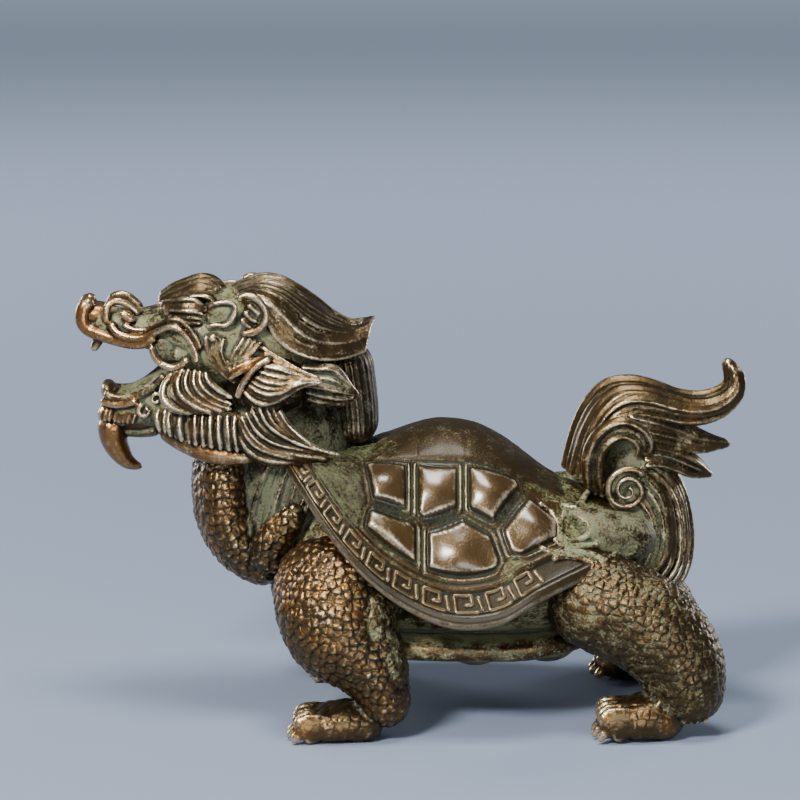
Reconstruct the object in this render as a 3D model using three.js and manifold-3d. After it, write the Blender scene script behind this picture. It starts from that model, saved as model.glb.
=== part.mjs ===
// A cast bronze dragon turtle: a turtle's body on four scaled legs, with a
// dragon's open-jawed head and mane, and a curling flame-shaped tail.
// Millimetres, +Z up. The head points along -X, the left flank faces -Y, and the
// origin is on the ground under the middle of the figure.
// It is one casting, so every form below is joined into one solid.

import * as THREE from "three";
import Module from "manifold-3d";

const wasm = await Module();
wasm.setup();

// Driving sizes, in millimetres.
const LENGTH = 106.5; // nose to the bend of the tail tip
const RIM_THICKNESS = 1.8; // the shell's free edge
const BAND_DEPTH = 0.35; // how far the band inside the rim is sunk
const PAD_HEIGHT = 0.8; // how far the middle of a scute stands out of the seams
const SCUTE_BORDER = 0.8; // from a seam between scutes to the foot of a pad
const LONGEST_EDGE = 8; // of a pad, so that it follows the dome
const SOLE_CUT = 0.5; // how much of each foot's round underside is ground flat
const TOES = { count: 4, length: 3.4, halfWidth: 1.6, halfHeight: 2 };
const SPIKES = { count: 4, halfWidth: 1.7, halfDepth: 1.1, raised: 0.4 };

// The tables draw the figure DRAWN_LENGTH long, and drawn() brings their lengths to
// the real size, so they hold its pose and proportions. A row is a station of a form:
// x, y and z of its middle, its half width across, and its half depth. What comes in
// pairs is drawn on the left side, where y is negative.
const DRAWN_LENGTH = 106.53;
const drawn = (value) => (Array.isArray(value) ? value.map(drawn) : (value * LENGTH) / DRAWN_LENGTH);

const TRUNK = drawn([
  [-24, 0, 27, 8, 7], [-15, 0, 26, 14, 11.5], [0, 0, 25, 17, 12], [18, 0, 25, 17.2, 12],
  [31, 0, 26.5, 13, 10.5], [39, 0, 28, 7, 7],
]);
const PLASTRON = drawn([
  [-15, 0, 15, 10, 2.6], [-5, 0, 13.6, 15, 2.6], [18, 0, 13.4, 16, 2.6], [29, 0, 15, 10, 2.6],
]);
const BELLY_ROLLS = drawn([[-2, 13.4], [10.4, 12.3], [21.8, 12.9]]); // x and z of each
const BELLY_ROLL = { halfSpan: drawn(12), halfLength: drawn(5.6), depth: drawn(4.6), rise: drawn(1) };
const BELLY_ROLL_END = { length: 0.7, depth: 0.5 }; // an end's share of the middle's
const NECK = drawn([
  [-14, 0, 27, 11, 10], [-19.5, 0, 31, 12, 13], [-22.2, 0, 37.5, 11.3, 12.8],
  [-22.2, 0, 46, 10, 12.4], [-20.5, 0, 55, 8.8, 10],
]);

// The rim from the front middle round the left side to the back middle.
const RIM = drawn([
  [-21.5, 0, 44], [-18.8, -13.5, 41.8], [-11, -21, 32], [-3.4, -23.2, 25.2], [5.5, -24, 21],
  [13.6, -23.8, 21.2], [20.4, -22.2, 24.6], [29.5, -18, 28.2], [36.4, -11, 30.2], [39.5, 0, 31.5],
]);
const SHELL_TOP = drawn([2.5, 0, 47.8]);
const SHARES = { field: 0.85, ledge: 0.875, band: 0.96, edge: 1, lip: 0.99, tuck: 0.86 };
// The middle of each scute, as x and how far round the dome from the keel, and how
// much more ground it holds than its neighbours. Plain ground takes no pad.
const KEEL_HOLD = 11;
const SCUTES = drawn([
  [-4.5, 0, KEEL_HOLD], [3.5, 0, KEEL_HOLD], [12.2, 0, KEEL_HOLD], [21, 0, KEEL_HOLD],
  [-3.8, 17, 0], [4, 17, 0], [12.4, 17, 0], [19.6, 21.5, 3],
  [-3.4, 25.8, 0], [7.6, 25.8, 3],
]);
const PLAIN_GROUND = drawn([
  [-13, 0, KEEL_HOLD], [-11, 18, 0], [-12.5, 24, 0], [29, 0, KEEL_HOLD],
  [24.4, 13.5, 0], [27, 22, 0], [20, 32, 0],
]);

const FORELEG = drawn([
  [-10.5, -10, 29, 7, 8], [-12.6, -15, 24, 7.6, 9.4], [-12.2, -17.8, 18, 7.4, 9.2],
  [-10, -18.6, 12.6, 6.6, 8.2], [-7.4, -18.4, 7.8, 5.6, 6.4], [-6, -18.2, 2.4, 5, 4.6],
]);
const FAR_FORELEG = drawn([
  [-10.5, 10, 29, 7, 8], [-13.8, 14, 23, 7.4, 9], [-14.4, 15.6, 16.6, 7, 8.4],
  [-11.2, 16.6, 11.4, 6.4, 7.6], [-7, 17, 7.4, 5.4, 6.2], [-4.2, 17.2, 2.4, 5, 4.6],
]);
const HIND_LEG = drawn([
  [23, -11, 25, 7, 8], [30, -14.4, 21.4, 7, 8], [37, -16.4, 18.2, 6.8, 7.8],
  [41.6, -17.2, 13.4, 6.4, 7.2], [43, -17.6, 8, 5.8, 6.4], [42.4, -17.6, 2.6, 5.2, 5.6],
]);
const FOREFOOT_SIZE = { height: drawn(3.5), halfWidth: drawn(4.9) };
const FOREFOOT = { heel: drawn([-4.6, -18.2]), toe: drawn([-16.6, -19.4]), ...FOREFOOT_SIZE };
const FAR_FOREFOOT = { heel: drawn([-2.6, 17.2]), toe: drawn([-14, 17]), ...FOREFOOT_SIZE };
const HINDFOOT_SIZE = { height: drawn(3.9), halfWidth: drawn(5) };
const HINDFOOT = { heel: drawn([43, -17.6]), toe: drawn([31, -19]), ...HINDFOOT_SIZE };
// Along a foot: the share of the way to the toes, then shares of its height for the
// middle, of its half width, and of its height for the half depth.
const FOOT_STATIONS = [[0, 0.8, 0.85, 0.8], [0.5, 1, 1, 0.9], [1, 0.75, 1, 0.7]];
const TOE_TIP = { reach: 0.75, width: 0.85, height: 0.75 }; // shares of the toe's sizes
const OUTER_TOES_SHORTER = 0.3; // share of its length by which an outer toe is shorter

const SKULL = drawn([
  [-13, 0, 58, 6, 6], [-20, 0, 60, 9.4, 9], [-27, 0, 61, 10.3, 8.8], [-33, 0, 62, 9.8, 7.2],
  [-38, 0, 63, 8.2, 4.8], [-43, 0, 62.4, 6.3, 3.2], [-48, 0, 62.4, 5.4, 2.6], [-51.4, 0, 63.4, 4, 2.2],
]);
const NOSE = drawn([[-51.2, -3.2, 64.2, 1.9, 2.5], [-51.2, 3.2, 64.2, 1.9, 2.5]]);
const NOSTRIL = drawn([
  [-42.4, -4.4, 63.8, 1.5, 1.8], [-43.6, -4.2, 66.6, 1.5, 1.7], [-46, -3.8, 68.1, 1.4, 1.3],
  [-47.9, -3.6, 66.2, 1, 1],
]);
const NOSTRIL_BALL = drawn([[-45.6, -4.9, 63.8, 1.7, 1.9], [-42.8, -5.4, 64, 1.8, 2]]);
const LIP = drawn([[-50.2, -3.4, 62, 1, 1.1], [-46, -5.9, 60.9, 1, 1.1], [-39.6, -7.9, 62.4, 1, 1.1]]);
const FANG = drawn([[-49.8, -3.1, 61.2, 1.3, 1.4], [-50, -3.2, 59.4, 0.8, 0.9]]);
const MOUTH_CURL = {
  middle: drawn([-35.9, -9.2, 61]), radius: drawn(2.8), roll: drawn(1.1), start: 170, turn: -290,
};
const JAW = drawn([
  [-30, 0, 53.5, 7.6, 4.8], [-36, 0, 52.6, 7.2, 4.6], [-41, 0, 51, 6, 4],
  [-45, 0, 50, 5, 3.3], [-48.6, 0, 49.8, 4, 3],
]);
const JAW_TIP = drawn([[-47.8, 0, 51.6, 3.6, 1.8], [-48.9, 0, 54.4, 2.4, 0.8]]);
const GOATEE = drawn([
  [-47.7, 0, 49, 3.4, 2.7], [-47.6, 0, 44.6, 2.9, 2.2], [-45.6, 0, 41.1, 1.8, 1.3], [-43, 0, 40, 0.4, 0.4],
]);
const CROWN = drawn([[-38.6, 0, 66.4, 4.6, 2.4], [-33.4, 0, 68.3, 6, 3.3], [-29.4, 0, 67.6, 4, 2.4]]);
const BROW = drawn([
  [-39.6, -5.4, 66.8, 1.7, 2.2], [-36.4, -7.3, 66.6, 2.2, 2.5], [-32.4, -8.9, 65.4, 1.4, 1.6],
]);
const TEMPLE = drawn([[-31.4, -7.8, 67, 1.9, 1.8], [-28, -8.8, 67, 1.9, 1.8]]);

const MANE = drawn([
  [-29.8, 0, 67, 6.5, 3.2], [-23.6, 0, 66.4, 9.8, 6.3], [-16.4, 0, 64.2, 10.6, 6.4],
  [-10.6, 0, 61.9, 9, 5.2], [-7.8, 0, 61.6, 6.4, 3.4],
]);
const MANE_TIP = drawn([[-11, 0, 63.6, 7.4, 3.2], [-7.4, 0, 63.3, 5.4, 1.8], [-5, 0, 65.3, 1.6, 0.4]]);
const NAPE = drawn([[-10.4, 0, 60.5, 5.8, 4], [-9, 0, 50.5, 5, 3.8], [-8.6, 0, 44, 6, 3.4]]);
const BEARD = drawn([
  [-41, -3.4, 48.4, 2.2, 2.4], [-36.4, -6, 47.8, 3, 4.2], [-30.6, -7.8, 47, 3.4, 5.2],
  [-24.4, -9, 46.8, 2.8, 4.4], [-20, -8.8, 46.8, 1.6, 2.2],
]);
// Blades of hair on the flank, each from its root to its tip.
const LOCKS = drawn([
  [
    [-33.2, -9.2, 58.4, 1.8, 2.6], [-34.6, -10.2, 54.8, 2, 3], [-31.6, -10.6, 51.6, 1.8, 2.4],
    [-27.6, -11.2, 50.6, 0.4, 0.4],
  ],
  [
    [-30.6, -9.6, 57.8, 1.6, 2.2], [-31.4, -10.6, 55.2, 1.8, 2.2], [-28.6, -11, 52.4, 1.4, 1.8],
    [-25.2, -11.6, 51.8, 0.4, 0.4],
  ],
  [[-31.6, -9.4, 63, 1.4, 1.6], [-28.4, -11, 61.2, 1.6, 2.2], [-24.6, -12, 57.4, 0.4, 0.4]],
  [
    [-29.6, -10.4, 54.2, 1.6, 2.2], [-24.6, -12.2, 54.2, 2, 3.8], [-19.4, -13, 54.4, 1.4, 2.4],
    [-14.9, -13.2, 55.8, 0.3, 0.3],
  ],
  [[-27.4, -9.8, 63.6, 1.6, 2], [-21, -11.6, 60.2, 1.8, 2.2], [-13.4, -11.4, 57.2, 0.4, 0.4]],
  [[-26.8, -9, 66.6, 1.8, 2], [-18, -11.4, 63, 2, 2.2], [-8.6, -8.4, 60, 0.8, 0.8]],
  [[-20, -7.6, 56.6, 2, 3], [-14, -8.6, 55.2, 1.8, 2.6], [-9.8, -8.4, 52.6, 0.4, 0.4]],
  [
    [-28.4, -9.2, 50.4, 1.8, 2.6], [-22.6, -11.2, 49.2, 2, 3], [-16.6, -12, 46, 1.4, 1.8],
    [-11.2, -12.2, 43.4, 0.3, 0.3],
  ],
  [[-26.4, -8.8, 46.4, 1.8, 2.6], [-20.4, -10.6, 45.2, 1.8, 2.6], [-13.6, -11.4, 42.4, 0.3, 0.3]],
]);

const TAIL_ROOT = drawn([
  [33, 0, 20, 8, 7], [36.4, 0, 28, 8, 9.2], [37, 0, 36, 6, 8], [38.2, 0, 47, 4, 5.6],
]);
const PLUME = drawn([
  [27.4, 0, 39, 5, 3.6], [28.8, 0, 46.5, 4.6, 3.2], [32.2, 0, 51.6, 4.3, 3.1], [37, 0, 52.3, 4, 2.9],
  [43, 0, 50.3, 3.7, 2.8], [48.2, 0, 50, 3, 2.4], [51.4, 0, 52.4, 2.4, 1.8], [52, 0, 55.8, 1.9, 1.4],
  [49.6, 0, 57, 0.9, 0.9],
]);
const TAIL_TIPS = drawn([
  [[40, 0, 47.4, 4.2, 3], [46.6, 0, 45, 3.2, 2.2], [51.4, 0, 45.1, 0.8, 0.5]],
  [[39, 0, 42.6, 4.6, 3], [45, 0, 40.6, 3, 2.4], [48.4, 0, 38.6, 0.8, 0.6]],
]);
const TAIL_SCROLL = {
  middle: drawn([33.6, -4.2, 44.9]), radius: drawn(4), roll: drawn(1.3), start: 225, turn: -285,
};
const TAIL_SPIRAL = {
  middle: drawn([34.9, -6, 38.3]), radius: drawn(2.9), roll: drawn(0.9), start: 60, turn: 500, shrink: 0.2,
};
const TAIL_STRANDS = drawn([
  [
    [35.6, -5.8, 41.4, 1.6, 1.4], [41.2, -5, 38.4, 1.6, 1.5], [43.6, -4.8, 32, 1.5, 1.4],
    [42.6, -6.4, 25, 1.4, 1.3], [37.6, -7.4, 20.6, 0.8, 0.6],
  ],
  [
    [38.6, -5.4, 37.4, 1.4, 1.2], [40.9, -6.2, 32, 1.6, 1.3], [40, -7.4, 26, 1.4, 1.2],
    [35.6, -8, 22.6, 0.6, 0.5],
  ],
]);
// The spikes above the tail, in the dome's flat layout: the root's and the tip's x and
// half spread, and at each station the share of the way and of a spike's thickness.
const SPIKE_X = drawn([22, 30]);
const SPIKE_SPREAD = drawn([12, 8]);
const SPIKE_STATIONS = [[0, 0.3], [0.4, 1], [1, 0.4]];

const ACROSS = new THREE.Vector3(0, 1, 0);
const ALONG = new THREE.Vector3(1, 0, 0);
const CAP_BULGE = 0.45; // how far an end stands out, as a share of its radius
const CURL_STEP = 50; // degrees between the stations of a curl
const mix = (a, b, t) => a + (b - a) * t;

// Turns a list of points and triangles into a solid.
function solid(points, triangles) {
  const vertProperties = new Float32Array(points.flatMap((p) => [p.x, p.y, p.z]));
  const triVerts = new Uint32Array(triangles);
  return new wasm.Manifold(new wasm.Mesh({ numProp: 3, vertProperties, triVerts }));
}

// Adds the triangles between two rings of points, given where each ring starts.
function belt(triangles, first, second, sides) {
  for (let j = 0; j < sides; j++) {
    const next = (j + 1) % sides;
    triangles.push(first + j, first + next, second + next, first + j, second + next, second + j);
  }
}

// Adds the triangles from a ring to a point that closes it.
function fan(triangles, ring, sides, point) {
  for (let j = 0; j < sides; j++) triangles.push(ring + j, ring + ((j + 1) % sides), point);
}

// Sweeps an oval along the stations. Every second corner is drawn in by groove,
// which leaves ridges along the form, and every second ring by rib, which leaves
// ridges round it. A square above 2 fills the oval's corners.
function sweep(
  stations,
  { sides = 8, rings = stations.length, groove = 0, rib = 0, square = 2, across = ACROSS } = {},
) {
  const path = new THREE.CatmullRomCurve3(stations.map(([x, y, z]) => new THREE.Vector3(x, y, z)));
  const girth = new THREE.CatmullRomCurve3(stations.map((row) => new THREE.Vector3(row[3], row[4], 0)));
  const points = [];
  const triangles = [];
  for (let i = 0; i < rings; i++) {
    const t = i / (rings - 1);
    const middle = path.getPoint(t);
    const along = path.getTangent(t);
    const width = across.clone().addScaledVector(along, -along.dot(across)).normalize();
    const depth = new THREE.Vector3().crossVectors(along, width);
    const { x: halfWidth, y: halfDepth } = girth.getPoint(t);
    for (let j = 0; j < sides; j++) {
      const angle = (2 * Math.PI * (sides > 4 ? j + 0.5 : j)) / sides;
      const [c, s] = [Math.cos(angle), Math.sin(angle)];
      const corner = (Math.abs(c) ** square + Math.abs(s) ** square) ** (-1 / square);
      const reach = corner * (j % 2 ? 1 - groove : 1) * (i % 2 ? 1 : 1 - rib);
      const point = middle.clone().addScaledVector(width, c * reach * halfWidth);
      points.push(point.addScaledVector(depth, s * reach * halfDepth));
    }
    if (i > 0) belt(triangles, (i - 1) * sides, i * sides, sides);
  }
  for (const t of [0, 1]) {
    const girthThere = girth.getPoint(t);
    const out = (t ? 1 : -1) * CAP_BULGE * Math.min(girthThere.x, girthThere.y);
    points.push(path.getPoint(t).addScaledVector(path.getTangent(t), out));
  }
  const closing = [];
  fan(closing, 0, sides, rings * sides);
  fan(triangles, (rings - 1) * sides, sides, rings * sides + 1);
  return solid(points, [...triangles, ...closing.reverse()]);
}

const mirrored = (stations) => stations.map(([x, y, ...rest]) => [x, -y, ...rest]);
const pair = (stations, options) => [sweep(stations, options), sweep(mirrored(stations), options)];

// The stations of a roll that curls on the flank, winding in when shrink is under 1.
function curl({ middle: [x, y, z], radius, roll, start, turn, shrink = 1 }) {
  const count = Math.ceil(Math.abs(turn) / CURL_STEP);
  return Array.from({ length: count + 1 }, (_, i) => {
    const t = i / count;
    const angle = THREE.MathUtils.degToRad(start + turn * t);
    const reach = radius * mix(1, shrink, t);
    const thick = roll * mix(1, Math.sqrt(shrink), t);
    return [x + reach * Math.cos(angle), y, z + reach * Math.sin(angle), thick, thick];
  });
}

// The rim round the shell's top, as bearing, reach and height.
const rimTable = (() => {
  const left = RIM.map((point) => new THREE.Vector3(...point));
  const right = RIM.slice(1, -1).reverse().map(([x, y, z]) => new THREE.Vector3(x, -y, z));
  const samples = new THREE.CatmullRomCurve3([...left, ...right], true).getPoints(240);
  const [topX, topY] = SHELL_TOP;
  const row = ({ x, y, z }) => [Math.atan2(y - topY, x - topX), Math.hypot(x - topX, y - topY), z];
  return samples.slice(0, -1).map(row).sort((a, b) => a[0] - b[0]);
})();

function rimAt(bearing) {
  const rows = rimTable.length;
  const next = rimTable.findIndex(([there]) => there > bearing);
  const after = rimTable[Math.max(next, 0)];
  const before = rimTable[next > 0 ? next - 1 : rows - 1];
  const turn = 2 * Math.PI;
  const gap = (after[0] - before[0] + turn) % turn;
  const t = ((bearing - before[0] + turn) % turn) / gap;
  return { reach: mix(before[1], after[1], t), z: mix(before[2], after[2], t) };
}

// How far the dome has dropped at a share of the way from its top to its rim: round
// on top, and in a later, steeper flank that flares out again at the rim.
const FLARE = 0.6; // how much of the drop belongs to the steep flank
const SHOULDER = 1.4; // above 1 the steep flank starts further out
function drop(share) {
  const flank = THREE.MathUtils.smoothstep(share ** SHOULDER, 0, 1);
  return mix(share * share, flank, FLARE);
}

function shellPoint(bearing, share, sunk = 0) {
  const { reach, z } = rimAt(bearing);
  const [topX, topY, topZ] = SHELL_TOP;
  return new THREE.Vector3(
    topX + Math.cos(bearing) * reach * share,
    topY + Math.sin(bearing) * reach * share,
    mix(topZ, z, drop(share)) - sunk,
  );
}

// The dome is laid out flat as x, and w, which is how far round it a point lies
// from the keel. It grows faster than y does where the flank is steep.
const ROUND = 2.72 / LENGTH;
const laidOut = ({ x, y }) => new THREE.Vector2(x, y + Math.sign(y) * ROUND * y * y);

function onDome({ x, y: w }, raised = 0) {
  const y = (Math.sign(w) * (Math.sqrt(1 + 4 * ROUND * Math.abs(w)) - 1)) / (2 * ROUND);
  const point = domeAt(x, y);
  if (!raised) return point;
  const along = domeAt(x + raised, y).sub(point);
  const round = domeAt(x, y + raised).sub(point);
  return point.addScaledVector(along.cross(round).normalize(), raised);
}

// The dome's point above a place on the ground.
function domeAt(x, y) {
  const [topX, topY] = SHELL_TOP;
  const bearing = Math.atan2(y - topY, x - topX);
  return shellPoint(bearing, Math.hypot(x - topX, y - topY) / rimAt(bearing).reach);
}

// Turns the edge between two triangles wherever that makes both of them fuller, so
// that the strips between the pads follow the dome instead of cutting across it.
const LEAST_GAIN = 1e-6; // in radians
function fuller(triangles, flat) {
  const angleAt = (c, a, b) =>
    flat[a].clone().sub(flat[c]).angleTo(flat[b].clone().sub(flat[c]));
  let turned = true;
  for (let round = 0; turned && round < flat.length; round++) {
    turned = false;
    const owners = new Map();
    triangles.forEach((t, n) => t.forEach((a, k) => {
      const [b, c] = [...t.slice(k + 1), ...t.slice(0, k)];
      owners.set(`${a} ${b}`, [n, a, b, c]);
    }));
    const done = new Set();
    for (const [n, a, b, c] of owners.values()) {
      const [m, , , d] = owners.get(`${b} ${a}`) ?? [];
      if (m === undefined || done.has(n) || done.has(m)) continue;
      if (angleAt(c, a, b) + angleAt(d, a, b) < Math.PI + LEAST_GAIN) continue;
      triangles[n] = [c, a, d];
      triangles[m] = [d, b, c];
      done.add(n).add(m);
      turned = true;
    }
  }
  return triangles;
}

// The same polygon with extra points along its long edges.
function divided(polygon, longest) {
  return polygon.flatMap((a, i) => {
    const b = polygon[(i + 1) % polygon.length];
    const parts = Math.ceil(a.distanceTo(b) / longest);
    return Array.from({ length: parts }, (_, k) => a.clone().lerp(b, k / parts));
  });
}

// The part of a polygon where inside is not negative.
function clip(polygon, inside) {
  return polygon.flatMap((a, i) => {
    const b = polygon[(i + 1) % polygon.length];
    const [da, db] = [inside(a), inside(b)];
    const crossing = da * db < 0 ? [a.clone().lerp(b, da / (da - db))] : [];
    return da >= 0 ? [a, ...crossing] : crossing;
  });
}

// The ground of every scute in the flat layout, less its border: the points that
// lie nearer to its middle than to any other, where hold makes a middle nearer.
function scutes(field) {
  const bothSides = (rows) => rows.flatMap(([x, w, hold]) =>
    (w ? [w, -w] : [0]).map((side) => ({ at: new THREE.Vector2(x, side), hold })));
  const padded = bothSides(SCUTES);
  const all = [...padded, ...bothSides(PLAIN_GROUND)];
  return padded.map((scute) => {
    let cell = field;
    for (const other of all) {
      const towards = other.at.clone().sub(scute.at);
      const apart = towards.length();
      if (apart === 0) continue;
      const seam = apart / 2 + (scute.hold ** 2 - other.hold ** 2) / (2 * apart);
      cell = clip(cell, (p) => seam - SCUTE_BORDER - p.clone().sub(scute.at).dot(towards) / apart);
    }
    const middle = cell.reduce((sum, p) => sum.add(p), new THREE.Vector2()).divideScalar(cell.length);
    return { cell: divided(cell, LONGEST_EDGE), middle };
  });
}

// The dome with its scutes, the band and the edge, as one skin.
const BEARINGS = 30; // corners round the rim
const CLEAR_OF_FIELD = 0.04; // share kept free between the pads and the field's edge
const PAD_INSET = 0.84; // a pad's flat top, as a share of its foot
const PAD_BROW = 0.8; // the height of that top's edge, as a share of its middle's
const SHELL_FLOOR = 0.5; // where the underside closes, as a share of the top's height
function shell() {
  const loop = (share, sunk = 0) => Array.from({ length: BEARINGS }, (_, j) =>
    shellPoint(-Math.PI + (2 * Math.PI * (j + 0.5)) / BEARINGS, share, sunk));
  const border = loop(SHARES.field).map(laidOut);
  const inner = loop(SHARES.field - CLEAR_OF_FIELD).map(laidOut).filter((_, j) => j % 2);
  const pads = scutes(inner);

  const points = [...loop(SHARES.field), ...pads.flatMap(({ cell }) => cell.map((p) => onDome(p)))];
  const holes = pads.map(({ cell }) => cell);
  const plain = THREE.ShapeUtils.triangulateShape(border, holes);
  const triangles = fuller(plain, [...border, ...holes.flat()]).flat();
  let padFoot = BEARINGS;
  for (const { cell, middle } of pads) {
    const brow = points.length;
    const inset = (p) => middle.clone().lerp(p, PAD_INSET);
    points.push(...cell.map((p) => onDome(inset(p), PAD_BROW * PAD_HEIGHT)), onDome(middle, PAD_HEIGHT));
    belt(triangles, padFoot, brow, cell.length);
    fan(triangles, brow, cell.length, points.length - 1);
    padFoot += cell.length;
  }

  const loops = [
    loop(SHARES.ledge, BAND_DEPTH), loop(SHARES.band, BAND_DEPTH), loop(SHARES.edge),
    loop(SHARES.lip, RIM_THICKNESS), loop(SHARES.tuck, 2 * RIM_THICKNESS),
  ];
  let above = 0;
  for (const ring of loops) {
    const below = points.length;
    points.push(...ring);
    belt(triangles, below, above, BEARINGS);
    above = below;
  }
  const [x, y, z] = SHELL_TOP;
  const closing = [];
  fan(closing, above, BEARINGS, points.push(new THREE.Vector3(x, y, SHELL_FLOOR * z)) - 1);
  return solid(points, [...triangles, ...closing.reverse()]);
}

function foot({ heel: [heelX, heelY], toe: [toeX, toeY], height, halfWidth }) {
  const pad = sweep(FOOT_STATIONS.map(([way, middle, width, depth]) => [
    mix(heelX, toeX, way), mix(heelY, toeY, way), middle * height, width * halfWidth, depth * height,
  ]), { square: 2.6 });
  const ahead = Math.sign(toeX - heelX);
  const toes = Array.from({ length: TOES.count }, (_, i) => {
    const { length, halfWidth: toeWidth, halfHeight } = TOES;
    const spread = (2 * i) / (TOES.count - 1) - 1;
    const y = toeY + spread * (halfWidth - toeWidth);
    const reach = TOE_TIP.reach * length * (1 - OUTER_TOES_SHORTER * spread * spread);
    return sweep([
      [toeX - ahead * toeWidth / 2, y, halfHeight, toeWidth, halfHeight],
      [
        toeX + ahead * reach, y + spread * toeWidth / 4, 0.8 * halfHeight,
        TOE_TIP.width * toeWidth, TOE_TIP.height * halfHeight,
      ],
    ], { sides: 4 });
  });
  return [pad, ...toes];
}

function legs() {
  const otherSide = ({ heel: [x, y], toe: [toeX, toeY], ...size }) =>
    ({ heel: [x, -y], toe: [toeX, -toeY], ...size });
  return [
    sweep(FORELEG), sweep(FAR_FORELEG), ...pair(HIND_LEG),
    ...foot(FOREFOOT), ...foot(FAR_FOREFOOT), ...foot(HINDFOOT), ...foot(otherSide(HINDFOOT)),
  ];
}

function body() {
  const { halfSpan, halfLength, depth, rise } = BELLY_ROLL;
  const rolls = BELLY_ROLLS.map(([x, z]) => {
    const end = (side) =>
      [x, side * halfSpan, z + rise, BELLY_ROLL_END.length * halfLength, BELLY_ROLL_END.depth * depth];
    return sweep([end(-1), [x, 0, z, halfLength, depth], end(1)], { sides: 6, across: ALONG });
  });
  return [
    sweep(TRUNK, { sides: 10 }), sweep(PLASTRON, { square: 3 }), ...rolls, sweep(NECK, { sides: 11 }),
  ];
}

function head() {
  return [
    sweep(SKULL, { sides: 10 }),
    sweep(NOSE, { sides: 7, across: ALONG }),
    sweep(JAW, { square: 2.4 }),
    sweep(JAW_TIP, { sides: 6 }),
    sweep(GOATEE, { rings: 5, groove: 0.14 }),
    sweep(CROWN, { groove: 0.1 }),
    ...pair(NOSTRIL, { sides: 6 }),
    ...pair(NOSTRIL_BALL, { sides: 6 }),
    ...pair(LIP, { sides: 4 }),
    ...pair(curl(MOUTH_CURL), { sides: 4 }),
    ...pair(FANG, { sides: 4 }),
    ...pair(BROW, { groove: 0.16 }),
    ...pair(TEMPLE, { sides: 6 }),
  ];
}

function hair() {
  return [
    sweep(MANE, { sides: 18, rings: 6, groove: 0.11 }),
    sweep(MANE_TIP, { groove: 0.15 }),
    sweep(NAPE, { groove: 0.12 }),
    ...pair(BEARD, { sides: 7, rings: 11, rib: 0.14 }),
    ...LOCKS.flatMap((lock) => pair(lock, lock.length > 3 ? { sides: 6, groove: 0.2 } : { sides: 4 })),
  ];
}

function tail() {
  const spikes = Array.from({ length: SPIKES.count }, (_, i) => {
    const spread = (2 * i) / (SPIKES.count - 1) - 1;
    return sweep(SPIKE_STATIONS.map(([way, size]) => {
      const flat = new THREE.Vector2(mix(...SPIKE_X, way), spread * mix(...SPIKE_SPREAD, way));
      const { x, y, z } = onDome(flat, SPIKES.raised);
      return [x, y, z, size * SPIKES.halfWidth, size * SPIKES.halfDepth];
    }), { sides: 4 });
  });
  return [
    sweep(TAIL_ROOT, { sides: 10 }),
    sweep(PLUME, { rings: 11, groove: 0.12 }),
    ...TAIL_TIPS.map((tip) => sweep(tip, { sides: 6, groove: 0.15 })),
    ...pair(curl(TAIL_SCROLL), { sides: 4 }),
    ...pair(curl(TAIL_SPIRAL), { sides: 4 }),
    ...TAIL_STRANDS.flatMap((strand) => pair(strand, { sides: 4 })),
    ...spikes,
  ];
}

// The ground that is cut away under the soles, which leaves them flat.
function ground() {
  const size = 2 * LENGTH;
  const corner = (x, y, z) =>
    new THREE.Vector3((x - 0.5) * size, (y - 0.5) * size, SOLE_CUT + (z - 1) * size);
  const floor = [corner(0, 0, 0), corner(1, 0, 0), corner(1, 1, 0), corner(0, 1, 0)];
  const top = [corner(0, 0, 1), corner(1, 0, 1), corner(1, 1, 1), corner(0, 1, 1)];
  const triangles = [0, 2, 1, 0, 3, 2, 4, 5, 6, 4, 6, 7];
  belt(triangles, 0, 4, 4);
  return solid([...floor, ...top], triangles);
}

const joined = wasm.Manifold.union([...body(), shell(), ...legs(), ...head(), ...hair(), ...tail()]);
const { vertProperties, triVerts } = joined.subtract(ground()).getMesh();
const form = new THREE.BufferGeometry()
  .setAttribute("position", new THREE.BufferAttribute(vertProperties, 3))
  .setIndex(new THREE.BufferAttribute(triVerts, 1));
form.computeBoundingBox();
const { min, max } = form.boundingBox;
form.translate(-(min.x + max.x) / 2, -(min.y + max.y) / 2, -min.z);

const bronze = new THREE.MeshStandardMaterial({ color: 0x5b4a30, roughness: 0.42, metalness: 0.85 });
const figure = new THREE.Mesh(form, bronze);
figure.name = "dragon_turtle";

const part = new THREE.Group();
part.add(figure);

export default part;
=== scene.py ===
"""A cast bronze dragon turtle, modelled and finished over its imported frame.

The tables are in millimetres, in the part's own drawing: the head points along -X and
the left flank faces -Y. Only the left half of a pair is written down.
"""

import math

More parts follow.
